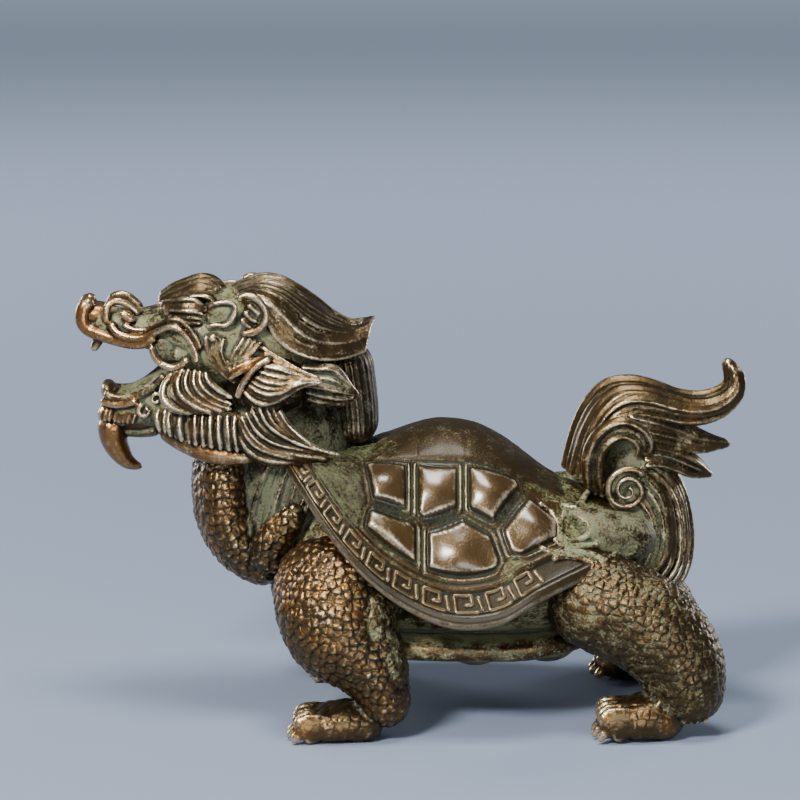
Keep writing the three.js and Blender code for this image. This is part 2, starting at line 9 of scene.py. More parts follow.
import bmesh
import bpy
import numpy as np
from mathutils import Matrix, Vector


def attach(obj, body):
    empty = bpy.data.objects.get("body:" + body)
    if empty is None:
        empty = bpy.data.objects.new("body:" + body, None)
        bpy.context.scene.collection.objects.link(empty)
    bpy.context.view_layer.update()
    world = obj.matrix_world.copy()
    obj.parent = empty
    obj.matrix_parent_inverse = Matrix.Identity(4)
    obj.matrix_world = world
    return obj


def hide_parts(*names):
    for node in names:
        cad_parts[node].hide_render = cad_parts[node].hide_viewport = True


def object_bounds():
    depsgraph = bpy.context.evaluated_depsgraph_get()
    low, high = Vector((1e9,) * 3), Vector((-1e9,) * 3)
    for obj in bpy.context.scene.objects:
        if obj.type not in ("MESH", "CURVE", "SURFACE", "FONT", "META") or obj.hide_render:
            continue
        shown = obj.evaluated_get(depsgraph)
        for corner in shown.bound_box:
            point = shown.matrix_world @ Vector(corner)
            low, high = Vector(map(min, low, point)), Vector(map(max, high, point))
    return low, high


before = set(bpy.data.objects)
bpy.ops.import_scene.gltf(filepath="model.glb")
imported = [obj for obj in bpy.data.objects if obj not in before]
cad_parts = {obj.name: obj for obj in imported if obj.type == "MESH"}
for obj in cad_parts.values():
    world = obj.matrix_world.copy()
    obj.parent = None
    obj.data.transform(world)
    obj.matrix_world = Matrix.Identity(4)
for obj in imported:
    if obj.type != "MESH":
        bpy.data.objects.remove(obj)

CAD_BOX = [tuple(corner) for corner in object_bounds()]

bl_info = {
    "name": "Bronze dragon turtle",
    "version": (1, 0, 0),
    "blender": (4, 5, 0),
    "location": "3D View > Sidebar > Dragon turtle",
    "description": "Builds a cast bronze dragon turtle with its patina, and the stage it is shown on",
    "category": "Object",
}

NODE = "dragon_turtle"
BODY = "root"
MM = 0.001  # metres in a millimetre
DRAWN_LENGTH = 106.53  # how long the tables draw the figure
DRAWN_MIDDLE = np.array([0.165, -0.272, 0.5])  # the middle of the drawing, at the soles
TO_FRAME = (CAD_BOX[1][0] - CAD_BOX[0][0]) / DRAWN_LENGTH  # metres in a drawn millimetre

ACROSS = (0, 1, 0)
ALONG = (1, 0, 0)

# Masses. A station is x, y and z of the middle, the half width and the half depth.
TRUNK = [
    (-24, 0, 27, 8, 7), (-15, 0, 26, 14, 11.5), (0, 0, 25, 17, 12), (18, 0, 25, 17.2, 12),
    (31, 0, 26.5, 13, 10.5), (39, 0, 28, 7, 7),
]
PLASTRON = [(-15, 0, 15, 10, 2.6), (-5, 0, 13.6, 15, 2.6), (18, 0, 13.4, 16, 2.6), (29, 0, 15, 10, 2.6)]
BELLY_ROLLS = [(-2, 13.4), (10.4, 12.3), (21.8, 12.9)]
NECK = [
    (-14, 0, 27, 11, 10), (-17.5, 0, 31, 10.5, 10.5), (-19.5, 0, 37.5, 9.6, 10.2),
    (-19.5, 0, 46, 8.6, 10), (-18.5, 0, 55, 8, 8.6),
]
CHEST = [
    (-20.6, 0, 22.6, 7, 2.6), (-26.2, 0, 27, 9.4, 4.6), (-29.2, 0, 33, 9.6, 5.4),
    (-29.6, 0, 41, 8.6, 5.2), (-28.4, 0, 47, 7, 4.6),
]
SHOULDER = [
    (-23.2, -9, 25, 2.2, 2.6), (-22, -9.8, 29.6, 2.4, 3), (-19.4, -10.8, 33.6, 1.8, 2.2),
    (-17.6, -11.2, 36, 0.8, 1),
]
FORELEG = [
    (-10.5, -10, 29, 7, 8), (-12.2, -15, 24, 7.6, 9.2), (-11.5, -17.8, 18, 7.4, 8.4),
    (-7, -18.6, 12.6, 6.4, 6), (-4.6, -18.4, 7.8, 5.4, 4.3), (-4.4, -18.2, 2.4, 5, 4.2),
]
FORELEG_BACK = [
    (-7.4, -14.8, 25, 5.6, 5.6), (-6.4, -18.2, 18.6, 5.7, 4.2), (-3.6, -18.8, 12.8, 5, 2.9),
    (-2.4, -18.6, 8.4, 4.4, 2.2),
]
FAR_FORELEG = [
    (-10.5, 10, 29, 7, 8), (-13.8, 14, 23, 7.4, 9), (-14.4, 15.6, 16.6, 7, 8.4),
    (-11.2, 16.6, 11.4, 6.4, 7.6), (-7, 17, 7.4, 5.4, 6.2), (-4.2, 17.2, 2.4, 5, 4.6),
]
HIND_LEG = [
    (23, -11, 25, 7, 8), (30, -14.4, 21.4, 7, 8), (37, -16.4, 18.2, 6.8, 7.8),
    (41.6, -17.2, 13.4, 6.4, 7.2), (43, -17.6, 8, 5.8, 6.4), (42.4, -17.6, 2.6, 5.2, 5.6),
]
FAR_HIND_LEG = [
    (23, 11, 24.4, 7, 8), (29.4, 14.4, 20.4, 7, 7.6), (35.8, 16.4, 17, 6.8, 7),
    (40.6, 17.2, 12.6, 6.4, 6.4), (42.6, 17.6, 7.6, 5.8, 6), (42.4, 17.6, 2.6, 5.2, 5.6),
]
# Feet: heel and toe on the ground, the pad's half height and half width, and the toes' height.
FOREFOOT = ((-4.4, -18.2), (-16.4, -19.4), 3.3, 4.9, 5.6)
FAR_FOREFOOT = ((-2.6, 17.2), (-13.8, 17), 3.3, 4.9, 5.6)
HINDFOOT = ((43, -17.6), (31.6, -19), 3.9, 5, 6.6)
FAR_HINDFOOT = ((43.4, 17.6), (33, 18.6), 3.7, 5, 6)
TOES = 4

SKULL = [
    (-13, 0, 58, 6, 6), (-20, 0, 60, 9.4, 9), (-27, 0, 61, 10, 8.6), (-33, 0, 62, 9.4, 7),
    (-38, 0, 62.8, 7.2, 4.4), (-43, 0, 62.8, 5.3, 3.2), (-48, 0, 63.4, 4.6, 2.9),
    (-51.2, 0, 64.6, 3.4, 2.4),
]
JAW = [
    (-30, 0, 53.5, 7.6, 4.8), (-36, 0, 52.6, 7.2, 4.6), (-41, 0, 51, 6, 4),
    (-45, 0, 50, 5, 3.3), (-48.6, 0, 49.8, 4, 3),
]
JAW_TIP = [(-47.8, 0, 51.6, 3.6, 1.8), (-48.9, 0, 54.4, 2.4, 0.8)]
CHIN = [(-40, 0, 49.6, 5.6, 3), (-45.4, 0, 49.4, 4.6, 3.2), (-48.2, 0, 48.4, 3.6, 2.8)]
GOATEE = [
    (-47.7, 0, 49, 3.4, 2.7), (-47.6, 0, 44.6, 2.9, 2.2), (-45.6, 0, 41.1, 1.8, 1.3),
    (-43, 0, 40, 0.4, 0.4),
]
CHIN_WEB = [(-46.2, 0, 46.6, 2.4, 1.5), (-43, 0, 46.4, 2.8, 1.4), (-40, 0, 47, 3.4, 1.8)]
MANE = [
    (-29.8, 0, 66.8, 5, 2.4), (-23.6, 0, 65.8, 8.2, 4.8), (-17.6, 0, 63.8, 9, 4.6),
    (-11.6, 0, 61.6, 7.4, 2.4), (-8.4, 0, 61.6, 4.6, 1.6),
]
NAPE = [(-10.4, 0, 60.5, 5.8, 4), (-9, 0, 50.5, 5, 3.8), (-8.6, 0, 44, 6, 3.4)]
BEARD = [
    (-40, -3.4, 48.2, 2, 2.2), (-36.4, -5.8, 47.8, 2.8, 3.6), (-30.6, -7.6, 47.2, 3.1, 4.4),
    (-24.4, -8.6, 47.2, 2.6, 3.6), (-20, -8.4, 47, 1.5, 1.8),
]
TAIL_ROOT = [
    (33, 0, 20, 8, 7), (36.2, 0, 28, 7.6, 8.4), (36.2, 0, 36, 5.6, 6.6), (37, 0, 46, 4, 4.6),
    (37.8, 0, 50.5, 3, 3.4),
]
PLUME = [
    (27.4, 0, 39, 4, 2.6), (28.8, 0, 46.2, 3.6, 2.3), (32.2, 0, 50.9, 3.2, 2.1), (37, 0, 51.7, 2.9, 2),
    (43, 0, 49.8, 2.7, 1.9), (48.2, 0, 50, 2.2, 1.6), (51.4, 0, 52.6, 1.7, 1.4), (51.7, 0, 55.8, 1.2, 1),
    (49.9, 0, 57.7, 0.8, 0.7),
]
TAIL_TIPS = [
    [(40, 0, 47.2, 3.4, 2.4), (46.4, 0, 44.6, 2.4, 1.6), (51, 0, 44, 0.6, 0.5)],
    [(39, 0, 42.6, 4, 2.6), (44.8, 0, 40.8, 2.3, 1.7), (48, 0, 38.8, 0.5, 0.4)],
]

# Bundles of strands on the left flank. Each lies between its guide paths of x, y and z.
MANE_GUIDES = [
    [
        (-29.1, 0, 69), (-23.7, 0, 70.6), (-19.3, 0, 69.6), (-15.4, 0, 67), (-12, 0, 64.6),
        (-8.6, 0, 63.4), (-5.4, 0, 64.7),
    ],
    [
        (-27.9, -5, 69), (-24.1, -6, 70.2), (-20.3, -6.6, 69.3), (-17, -6.8, 66.8), (-13.6, -6.2, 64.6),
        (-9.7, -4.4, 63.2), (-5.7, -1.6, 64.3),
    ],
    [
        (-26.9, -8.3, 68.6), (-24.3, -9.2, 69.6), (-21.5, -9.8, 68.5), (-18.7, -10.2, 65.7),
        (-15.3, -9.4, 63.2), (-10.4, -7.2, 62.1), (-6.2, -3.6, 63.3),
    ],
    [
        (-23.4, -9.8, 67.9), (-21.8, -10.4, 67), (-20.2, -10.8, 64.6), (-17.7, -11, 61.9),
        (-14.3, -10.2, 60.8), (-10.4, -8.4, 60.6), (-6.7, -5.4, 61.1),
    ],
    [
        (-22.4, -10.2, 65.4), (-21.5, -10.8, 63.6), (-19.6, -11.2, 61.8), (-17.1, -11.2, 60.5),
        (-14, -10.4, 59.7), (-10.4, -8.8, 59.6), (-7, -6, 60.2),
    ],
]
FIN_GUIDES = [
    [(-23.4, -11.8, 58.7), (-20.5, -12.4, 58.3), (-17.4, -12.9, 57.3), (-13.8, -13.2, 56.6)],
    [
        (-25.2, -12, 56.4), (-23, -12.8, 55.4), (-20.2, -13, 55.4), (-17.1, -13.2, 56.6),
        (-13.8, -13.3, 56.5),
    ],
    [
        (-26.4, -11.8, 54.9), (-24.9, -12.6, 53.6), (-22.7, -13, 53), (-20.2, -13.2, 53.9),
        (-17.1, -13.4, 55.8), (-13.8, -13.4, 56.3),
    ],
]
CHEEK_GUIDES = [
    [
        (-32.4, -10.4, 57.8), (-31.9, -11, 56.3), (-30.5, -11.4, 55), (-29, -11.6, 54.1),
        (-27.8, -11.7, 53.4),
    ],
    [
        (-33.9, -10, 58.1), (-34.1, -10.8, 56), (-33.1, -11.3, 54.3), (-31.1, -11.6, 52.9),
        (-28, -11.8, 51.7),
    ],
    [
        (-35.7, -9.4, 58), (-36.6, -10.2, 56.2), (-36.3, -10.8, 54.2), (-34.4, -11.3, 52.6),
        (-31, -11.6, 51.2),
    ],
    [
        (-37.6, -8.8, 57.2), (-38.6, -9.4, 55.4), (-38.6, -10, 53.6), (-37, -10.6, 52.1),
        (-34.1, -11, 51.1),
    ],
]
RUFF_GUIDES = [
    [(-39.8, -5.8, 51), (-40.2, -7, 49.2), (-39.6, -7.2, 47)],
    [(-34.4, -9.4, 51.4), (-34.6, -10.6, 48.8), (-34.4, -10.5, 45.6)],
    [(-27.6, -11, 51), (-27.6, -12, 48.2), (-27.2, -11.7, 44.6)],
]
RUFF_BORDER = [
    (-39.6, -5.6, 47.2, 1.1, 1.2), (-36, -8.2, 45.8, 1.4, 1.6), (-31.4, -10, 44.3, 1.4, 1.6),
    (-27, -10.8, 43.8, 1, 1.1), (-23.6, -10.8, 44, 0.5, 0.5),
]
LOCK_GUIDES = [
    [
        (-20.9, -11.2, 51.9), (-19.3, -11.8, 49.5), (-16.8, -12, 47.3), (-14, -11.8, 45.4),
        (-10.9, -11.2, 44.4),
    ],
    [
        (-23.7, -11.2, 52.5), (-22.2, -11.8, 49.5), (-19.3, -12, 47.3), (-16.2, -12, 45.8),
        (-11, -11.2, 44.2),
    ],
    [
        (-26.4, -11.2, 51.3), (-24.7, -11.8, 48.2), (-21.9, -12, 46.1), (-17.5, -11.8, 45),
        (-12, -11.2, 43.9),
    ],
    [
        (-27.5, -11.2, 49.2), (-26.4, -11.6, 46.2), (-24.4, -11.6, 44.3), (-21.4, -11.4, 43.4),
        (-17.5, -11, 43.2),
    ],
]
INNER_GUIDES = [
    [(-17.5, -9.5, 58), (-14.6, -9.8, 57.9), (-12.1, -10, 57.9), (-9.9, -9.8, 55.8), (-8.1, -9, 53.6)],
    [(-17, -9.8, 55.3), (-13.5, -10.2, 54.9), (-10.7, -10, 54.2), (-8.1, -9, 53.4)],
    [(-16.7, -9.6, 53.2), (-13.6, -10, 52.5), (-10.7, -9.8, 52.3), (-8.2, -9, 53.1)],
]
EAR_GUIDES = [
    [
        (-32.2, -9.8, 63.4), (-32, -10.2, 61), (-30.9, -10.6, 58.7), (-29, -10.9, 56.8),
        (-27.4, -11.1, 55.6),
    ],
    [
        (-29.3, -10, 63.1), (-29.8, -10.5, 60.9), (-29.2, -10.8, 59), (-28.1, -11, 57.4),
        (-26.8, -11.2, 56.5),
    ],
]
LOBE_GUIDES = [
    [(-26, -10.2, 63.2), (-27.1, -10.6, 61.3), (-28.1, -10.8, 59.7), (-28.6, -11, 58.1)],
    [(-23.3, -10.2, 62.5), (-24.6, -10.8, 60.9), (-25.8, -11.1, 59.6), (-27.4, -11.2, 58)],
]
CHIN_GUIDES = [
    [(-48.9, -2.6, 50.8), (-49.4, -2.8, 49.4), (-49.4, -2.6, 48)],
    [(-46.4, -3.9, 50.6), (-46.8, -4.1, 49.2), (-46.9, -3.9, 47.8)],
    [(-43.6, -4.9, 50.4), (-44, -5.1, 49), (-44.4, -4.7, 47.8)],
]
FETLOCK_GUIDES = [
    [(39.6, -21.6, 9), (38.4, -22.2, 6), (37, -22.6, 3)],
    [(45.4, -20.2, 9), (46.4, -20.6, 6), (46, -20.6, 3)],
]
NECK_GUIDES = [
    [(-22.5, -9, 42.4), (-24.8, -8.3, 36), (-25.6, -8.3, 29.6)],
    [(-18.4, -9.6, 42), (-20.2, -10, 36), (-22, -10.3, 29.6)],
    [(-14.5, -9.5, 41.4), (-16.2, -10.5, 36.4), (-17.8, -11.4, 30.6)],
]
CROWN_GUIDES = [
    [
        (-40.3, 0, 67.4), (-38.3, 0, 68.3), (-35.9, 0, 69.2), (-33.6, 0, 69.9), (-31.2, 0, 69.9),
        (-29.4, 0, 69),
    ],
    [
        (-40.2, -4, 67.4), (-38, -5, 68), (-35.9, -5.6, 68.7), (-34.5, -6, 69.3), (-32.6, -6, 69.6),
        (-30.7, -6, 69.2),
    ],
    [
        (-39.6, -6, 67.6), (-37.1, -7.2, 68), (-35.1, -7.8, 68.6), (-32.5, -8.2, 68.8), (-31, -8.2, 68.2),
        (-29.7, -8.2, 67.6),
    ],
]
BROW_GUIDES = [
    [(-39.5, -6.2, 68), (-36.9, -7.8, 68.5), (-35, -8.6, 68.8), (-33.1, -9, 68.3), (-32, -9.2, 67.2)],
    [(-39.8, -6.6, 66.8), (-36.9, -8.6, 67), (-35, -9.4, 67), (-33.2, -9.7, 66.8), (-32.2, -9.6, 66.2)],
    [(-38.8, -6.4, 65.6), (-36.8, -8, 65.4), (-35, -8.8, 65.2), (-33.3, -9, 65), (-32.7, -9.2, 65.2)],
]
PLUME_GUIDES = [
    [
        (24.6, 0, 39.6), (26.6, 0, 47.3), (30.4, 0, 53.2), (36, 0, 54.3), (43.6, 0, 52), (49, 0, 52.8),
        (50.6, 0, 55.6), (49.6, 0, 57.5),
    ],
    [
        (26.2, -3.6, 38.8), (28.6, -3.6, 46.4), (32.2, -3.4, 51.6), (37, -3.2, 52.4), (43.4, -3, 50.6),
        (48.6, -2.4, 50.8), (51.7, -1.8, 53.4), (51.2, -1.2, 57),
    ],
    [
        (28.6, -4.8, 38.4), (30.8, -4.8, 45), (33.4, -4.4, 49.2), (37.4, -3.8, 49.8), (43, -3, 48.4),
        (49.4, -2, 48.8), (53.1, -1.2, 52.3), (53, -0.6, 56),
    ],
]
LOOP_GUIDES = [
    [
        (28.4, -5.4, 36.6), (27.8, -5.8, 41.8), (29, -6, 46), (32.6, -6.2, 48.6), (36.4, -6.2, 47.4),
        (38, -5.6, 44.6), (36.8, -5, 42.2),
    ],
    [
        (30.6, -5.4, 36), (30, -6, 41), (30.8, -6.4, 44.4), (33.2, -6.6, 46.4), (35.4, -6.4, 45.8),
        (36.2, -5.8, 44.2), (35.4, -5, 42.6),
    ],
]
TIP_GUIDES = [
    [
        [(34.6, -5, 49.2), (38.6, -4.4, 48.2), (42, -3.4, 47), (46, -2.2, 45.2), (51.4, -0.4, 44)],
        [
            (36.8, -5.2, 45.2), (39.4, -4.6, 44.6), (42.4, -3.6, 43.8), (46.4, -2.2, 43),
            (51.2, -0.4, 43.5),
        ],
    ],
    [
        [(36.6, -5.4, 44.2), (39, -4.8, 44), (41.8, -4, 43.2), (45.4, -2.6, 41.4), (48.6, -0.4, 38.8)],
        [(37, -6, 41.4), (39.2, -5.4, 41.4), (41.6, -4.2, 40.6), (44.8, -2.6, 39), (48.4, -0.4, 38.5)],
    ],
]
BACK_GUIDES = [
    [
        (37.4, -3, 42.4), (41, -2.4, 40.4), (43.7, -1.8, 36.2), (44.8, -1.6, 29.2), (44, -2.4, 23.2),
        (41.6, -4, 20.4),
    ],
    [
        (36.4, -5, 41.6), (39.8, -4.8, 39.8), (42.4, -4.4, 35.8), (43.4, -4.6, 29.4), (42.6, -5.4, 24.2),
        (40, -6.2, 21.4),
    ],
    [
        (35.8, -6, 40.6), (38.4, -5.9, 38.2), (40.4, -6.2, 34.6), (41, -6.8, 29.6), (39.8, -7.4, 25.8),
        (37, -7.8, 23),
    ],
    [(36.4, -6.6, 36), (38.2, -6.9, 32.8), (38.5, -7.4, 28.9), (37.2, -7.8, 25.7), (35.2, -8, 23.8)],
]

# Rolls on the left flank: the roll's radius, how polished and how green it is, and its path.
FACE_ROLLS = [
    ((1.35, 0.8), 1, 0, [
        (-50.2, -1.9, 66.6), (-51.5, -2.1, 66.8), (-52.1, -2.3, 65.5), (-52, -2.5, 64), (-51, -2.8, 62.9),
        (-49.2, -3.6, 62.3), (-47, -4.5, 61.7), (-44.4, -5.3, 61.2), (-42, -6.3, 61.4),
        (-40.3, -7.3, 62.8),
    ]),
    (0.65, 0.7, 0.1, [
        (-48, -3.9, 63.8), (-48.3, -3.9, 65.6), (-47.9, -3.6, 67), (-46.7, -3.4, 67.6),
        (-45.3, -3.3, 67.3), (-44, -3.2, 66.3), (-43, -3.2, 65.2),
    ]),
    (0.85, 0.8, 0, [(-46.2, -4.4, 66), (-45, -4.8, 65.4), (-43.6, -4.9, 64.6)]),
    ((0.7, 0.5), 0.7, 0, [
        (-47.6, -4.2, 64.4), (-46.6, -5.2, 62.9), (-44.4, -5.9, 62.2), (-41.8, -6.6, 62.4),
        (-39.6, -7.7, 63.6), (-37.8, -8.6, 64.4), (-36.1, -9.2, 63.8), (-34.7, -9.5, 62.2),
        (-33.8, -9.7, 60.3), (-33.7, -9.9, 58.6),
    ]),
    (0.42, 0.5, 0.2, [
        (-45.7, -4.9, 64.3), (-44.1, -5.7, 63.5), (-41.8, -6.2, 63.5), (-39.9, -7, 64.5),
        (-37.9, -8.2, 65.5), (-35.6, -9, 65), (-33.9, -9.4, 63), (-32.9, -9.6, 60.8),
    ]),
    ((0.5, 0.7), 0.9, 0, [
        (-41, -7.4, 61.4), (-40.6, -7.8, 59.7), (-39.4, -8.1, 58.4), (-37.6, -8.4, 57.8),
        (-36, -8.7, 58.4), (-34.9, -9, 59.6),
    ]),
    (0.6, 1, 0, [(-49.4, -2.8, 51.7), (-48, -3.9, 51.1), (-45.6, -4.9, 51.2), (-43.2, -5.7, 52)]),
    (0.4, 0.2, 0.6, [
        (-32, -9.4, 67.4), (-30.6, -9.8, 68.3), (-28.7, -10, 68.5), (-27.6, -10, 68),
        (-27.7, -10.2, 66.5), (-29, -10.2, 64.9), (-30.9, -10, 64.9), (-32.5, -9.6, 64.4),
    ]),
    (0.65, 0.3, 0, [
        (-27.4, -9.6, 68.7), (-25.9, -9.7, 69.5), (-24.1, -10, 69), (-22.9, -10.2, 67.4),
        (-22.8, -10.4, 65.8), (-23.7, -10.4, 64.4), (-25.3, -10.2, 63.6), (-26.8, -10, 63.6),
    ]),
    (0.45, 0, 0.2, [(-26.8, -10.1, 66.2), (-25.7, -10.3, 64.9), (-24.6, -10.3, 64.5)]),
    (0.45, 0, 0.2, [(-26.3, -10.1, 67.3), (-25.1, -10.3, 65.9), (-23.8, -10.3, 65.4)]),
    (0.45, 0, 0.2, [(-25.8, -9.9, 68.3), (-24.5, -10.1, 67.2), (-23.5, -10.2, 66.3)]),
    (0.4, 0.8, 0, [(-29, -11, 57.5), (-26.8, -11.4, 58.6), (-24.6, -11.4, 59.6), (-22.4, -11.2, 60)]),
    (0.45, 0.8, 0, [(-28.7, -11.2, 56.5), (-26.7, -11.6, 57.7), (-24.6, -11.8, 59), (-22.1, -11.6, 60)]),
    (0.55, 0.8, 0, [
        (-27.3, -11.6, 53.3), (-26.7, -12, 55.2), (-25.4, -12.2, 57.4), (-23.7, -12.2, 59.1),
        (-21.8, -12, 60),
    ]),
    (0.42, 0.4, 0, [
        (-24.5, -10, 62), (-22.4, -10.8, 60.8), (-19.8, -11.6, 59.3), (-17.1, -12.4, 57.9),
        (-14, -13, 56.7),
    ]),
    (0.42, 0.4, 0, [
        (-23.4, -10.6, 60.7), (-21.8, -11.4, 59.6), (-19, -12, 58.4), (-16.6, -12.6, 57.3),
        (-14, -13, 56.6),
    ]),
    (0.7, 0, 0.8, [
        (-48.8, -3.2, 53), (-47.4, -4, 52.3), (-44.3, -4.8, 52.4), (-41.3, -6, 54.2), (-38.7, -7.2, 56.6),
    ]),
    ((0.95, 0.6), 0.2, 0.2, [(-49.3, -2.6, 61.8), (-50.1, -2.7, 60.4), (-50.6, -2.8, 59.3)]),
]
SWIRL_ROLLS = [
    (0.5, [(23.3, 36.4), (26.1, 36.2), (27.9, 37.2), (30.1, 38.3)]),
    (0.5, [
        (24.5, 35.8), (23.4, 34), (24.2, 32.1), (26.1, 31.6), (27.8, 32.4), (28, 33.7), (26.7, 34.8),
        (24.8, 35.6),
    ]),
    (0.55, [(19.8, 37.2), (21.7, 36.2), (23, 34.3), (23.4, 32.1), (24.8, 31), (28, 30.8), (29.8, 31.3)]),
    (0.6, [
        (19.8, 30.8), (22.6, 30.2), (26.1, 30), (28.9, 29.4), (30.4, 28.3), (33.3, 28.1), (35.1, 29.4),
        (35.4, 31.1),
    ]),
    (0.55, [(21.7, 29.1), (25.1, 29.7), (27.6, 28.7), (29.8, 27.5), (32.3, 27), (34.5, 28.1)]),
    (0.5, [(20.4, 33.6), (21.8, 33), (23, 31.4), (25.2, 30.4)]),
]
# The green flap that the tail spreads over the shell's edge.
FLAP = [
    (24, -9.4, 36, 2, 1.2), (27, -11.2, 34.2, 3, 2.4), (30.6, -12.2, 32.2, 3.7, 3.6),
    (34.6, -11, 31, 3.9, 3.9), (38.2, -8.6, 31, 3, 3.2),
]

# What the bundles of the beard lie on.
HAIR_BACKING = [(-29, -5, 56, 5.4, 6), (-22, -6.6, 55, 6, 5.6), (-16.8, -6.4, 53, 4.6, 4)]

# Swellings on the left flank of the head: the middle, the half length, width and height, and the looks.
SWELLINGS = [
    ((-50, -1.3, 64.9), (2.2, 1.9, 2), {"polish": 0.8}),
    ((-38.2, -6.8, 66.6), (1.2, 1.6, 1.5), {"polish": 0.7}),
    ((-29.8, -8.8, 66.6), (2.6, 1.1, 1.8), {"verdigris": 1}),
    ((-31.1, -9.8, 62.7), (1, 0.9, 0.9), {"verdigris": 0.4}),
    ((-24.8, -8.8, 66.2), (1.8, 1.5, 2.6), {"verdigris": 0.3}),
    ((-36.2, -7.5, 59.8), (1.5, 0.9, 1.1), {"verdigris": 1}),
    # The last swelling is painted darker.
    ((-38, -5.6, 60.6), (2.9, 1.6, 2.4), {"verdigris": 0.6, "soot": 0.4}),
]

# Curls: the middle, the radius, the roll's radius, the first angle, the turn and how far
# the radius shrinks along it.
CHIN_CURLS = [((-42.2, -6, 50.4), 1.2, 0.45, 90, 400, 0.3), ((-40.3, -6.6, 52.4), 1.1, 0.42, 0, 380, 0.3)]
TAIL_CURL = ((34.4, -6.5, 37.6), 3.6, 0.66, 40, 790, 0.1)

# The shell, as in the part: the rim's left half, its top, and shares of the way out.
RIM = [
    (-21.5, 0, 44), (-18.8, -13.5, 41.8), (-11, -21, 32), (-3.4, -23.2, 25.2), (5.5, -24, 21),
    (13.6, -23.8, 21.2), (20.4, -22.2, 24.6), (29.5, -18, 28.2), (36.4, -11, 30.2), (39.5, 0, 31.5),
]
SHELL_TOP = (2.5, 0, 47.8)
FIELD, LEDGE, BAND = 0.85, 0.875, 0.962
KEEL_HOLD = 11
# Scutes, and the plain ground round them, laid out flat: x, how far down the flank, and how much
# more ground each holds than its neighbours. They meet halfway, as cells do.
SCUTES = [
    (-2.6, 0, KEEL_HOLD), (4.6, 0, KEEL_HOLD), (12.8, 0, KEEL_HOLD), (21, 0, KEEL_HOLD),
    (-3.8, 17, 0), (4, 17, 0), (12.4, 17, 0), (19.6, 21.5, 3), (-3.4, 25.8, 0), (7.6, 25.8, 3),
]
PLAIN_GROUND = [
    (-10, 0, KEEL_HOLD), (-11, 18, 0), (-12.5, 24, 0), (29, 0, KEEL_HOLD), (24.4, 13.5, 0), (27, 22, 0),
    (20, 32, 0),
]
ROUND = 0.0255  # how much faster the flat layout grows round the steep flank


class Tree:
    """A node tree that is being built, a geometry group, a shader group or a material's own."""

    def __init__(self, name, kind="GeometryNodeTree", tree=None):
        self.tree = tree or bpy.data.node_groups.new(name, kind)
        if tree is None:
            self.source = self.tree.nodes.new("NodeGroupInput")
            self.sink = self.tree.nodes.new("NodeGroupOutput")

    def takes(self, name, kind, default=None):
        """Adds a named input and gives its socket inside the tree."""
        socket = self.tree.interface.new_socket(name, in_out="INPUT", socket_type="NodeSocket" + kind)
        if default is not None:
            socket.default_value = default
        return self.source.outputs[name]

    def gives(self, name, kind, value):
        """Adds a named output that carries the value."""
        self.tree.interface.new_socket(name, in_out="OUTPUT", socket_type="NodeSocket" + kind)
        self.tree.links.new(value, self.sink.inputs[name])

    def node(self, kind, inputs=None, **settings):
        """Adds a node. Each input is a socket to link, or a value to set."""
        node = self.tree.nodes.new(kind)
        for name, value in settings.items():
            setattr(node, name, value)
        for key, value in (inputs or {}).items():
            if isinstance(value, bpy.types.NodeSocket):
                self.tree.links.new(value, node.inputs[key])
            else:
                node.inputs[key].default_value = value
        return node

    def add(self, kind, inputs=None, **settings):
        """Adds a node and gives its first output."""
        return self.node(kind, inputs, **settings).outputs[0]

    def math(self, operation, *values, clamp=False):
        return self.add("ShaderNodeMath", dict(enumerate(values)), operation=operation, use_clamp=clamp)

    def vector(self, operation, *values):
        return self.add("ShaderNodeVectorMath", dict(enumerate(values)), operation=operation)

    def dot(self, a, b):
        return self.node("ShaderNodeVectorMath", {0: a, 1: b}, operation="DOT_PRODUCT").outputs["Value"]

    def times(self, vector, factor):
        return self.add("ShaderNodeVectorMath", {0: vector, "Scale": factor}, operation="SCALE")

    def named(self, name, kind="FLOAT"):
        return self.add("GeometryNodeInputNamedAttribute", {"Name": name}, data_type=kind)

    def rise(self, value, low, high):
        """0 below low, 1 above high, and a smooth step between them."""
        inputs = {"Value": value, "From Min": low, "From Max": high}
        return self.add("ShaderNodeMapRange", inputs, interpolation_type="SMOOTHSTEP")

    def blended(self, factor, a, b):
        """Two colours mixed. Their sockets are reached by number, as the node repeats its names."""
        factor_in, a_in, b_in, mixed = 0, 6, 7, 2
        mixing = self.node("ShaderNodeMix", {factor_in: factor, a_in: a, b_in: b}, data_type="RGBA")
        return mixing.outputs[mixed]


def in_frame(points):
    """Drawn millimetres to the frame's metres."""
    return (np.asarray(points, float) - DRAWN_MIDDLE) * TO_FRAME


def curve(rows, count):
    """count rows along the smooth curve through the given ones."""
    rows = np.asarray(rows, float)
    padded = np.vstack([2 * rows[0] - rows[1], rows, 2 * rows[-1] - rows[-2]])
    at = np.linspace(0, len(rows) - 1, count)
    first = np.minimum(at.astype(int), len(rows) - 2)
    t = (at - first)[:, None]
    a, b, c, d = (padded[first + k] for k in range(4))
    return b + 0.5 * t * (c - a + t * (2 * a - 5 * b + 4 * c - d + t * (3 * b - a - 3 * c + d)))


# The fourth look paints shade where shadow falls, under the mane, the ruff and the locks, and a darker tone
# on the keel, the rim and a few other parts.
LOOKS = ("scaled", "polish", "verdigris", "soot")


def form(stations, across=ACROSS, sides=20, flutes=0, groove=0.0, square=2.0, **looks):
    """One swept form. Its looks say how scaled, polished or green its skin is, and how much painted shade
    and darker tone it is given, from 0 to 1.
    """
    stations = np.asarray(stations, float)
    across = np.broadcast_to(np.asarray(across, float), (len(stations), 3))
    values = {"flutes": flutes, "groove": groove, "square": square, **dict.fromkeys(LOOKS, 0.0), **looks}
    return {"stations": stations, "across": across, "sides": sides, "values": values}


MASS_SIDES = 128


def mass(stations, **options):
    """A thick form, with enough sides for its size."""
    return form(stations, sides=MASS_SIDES, **options)


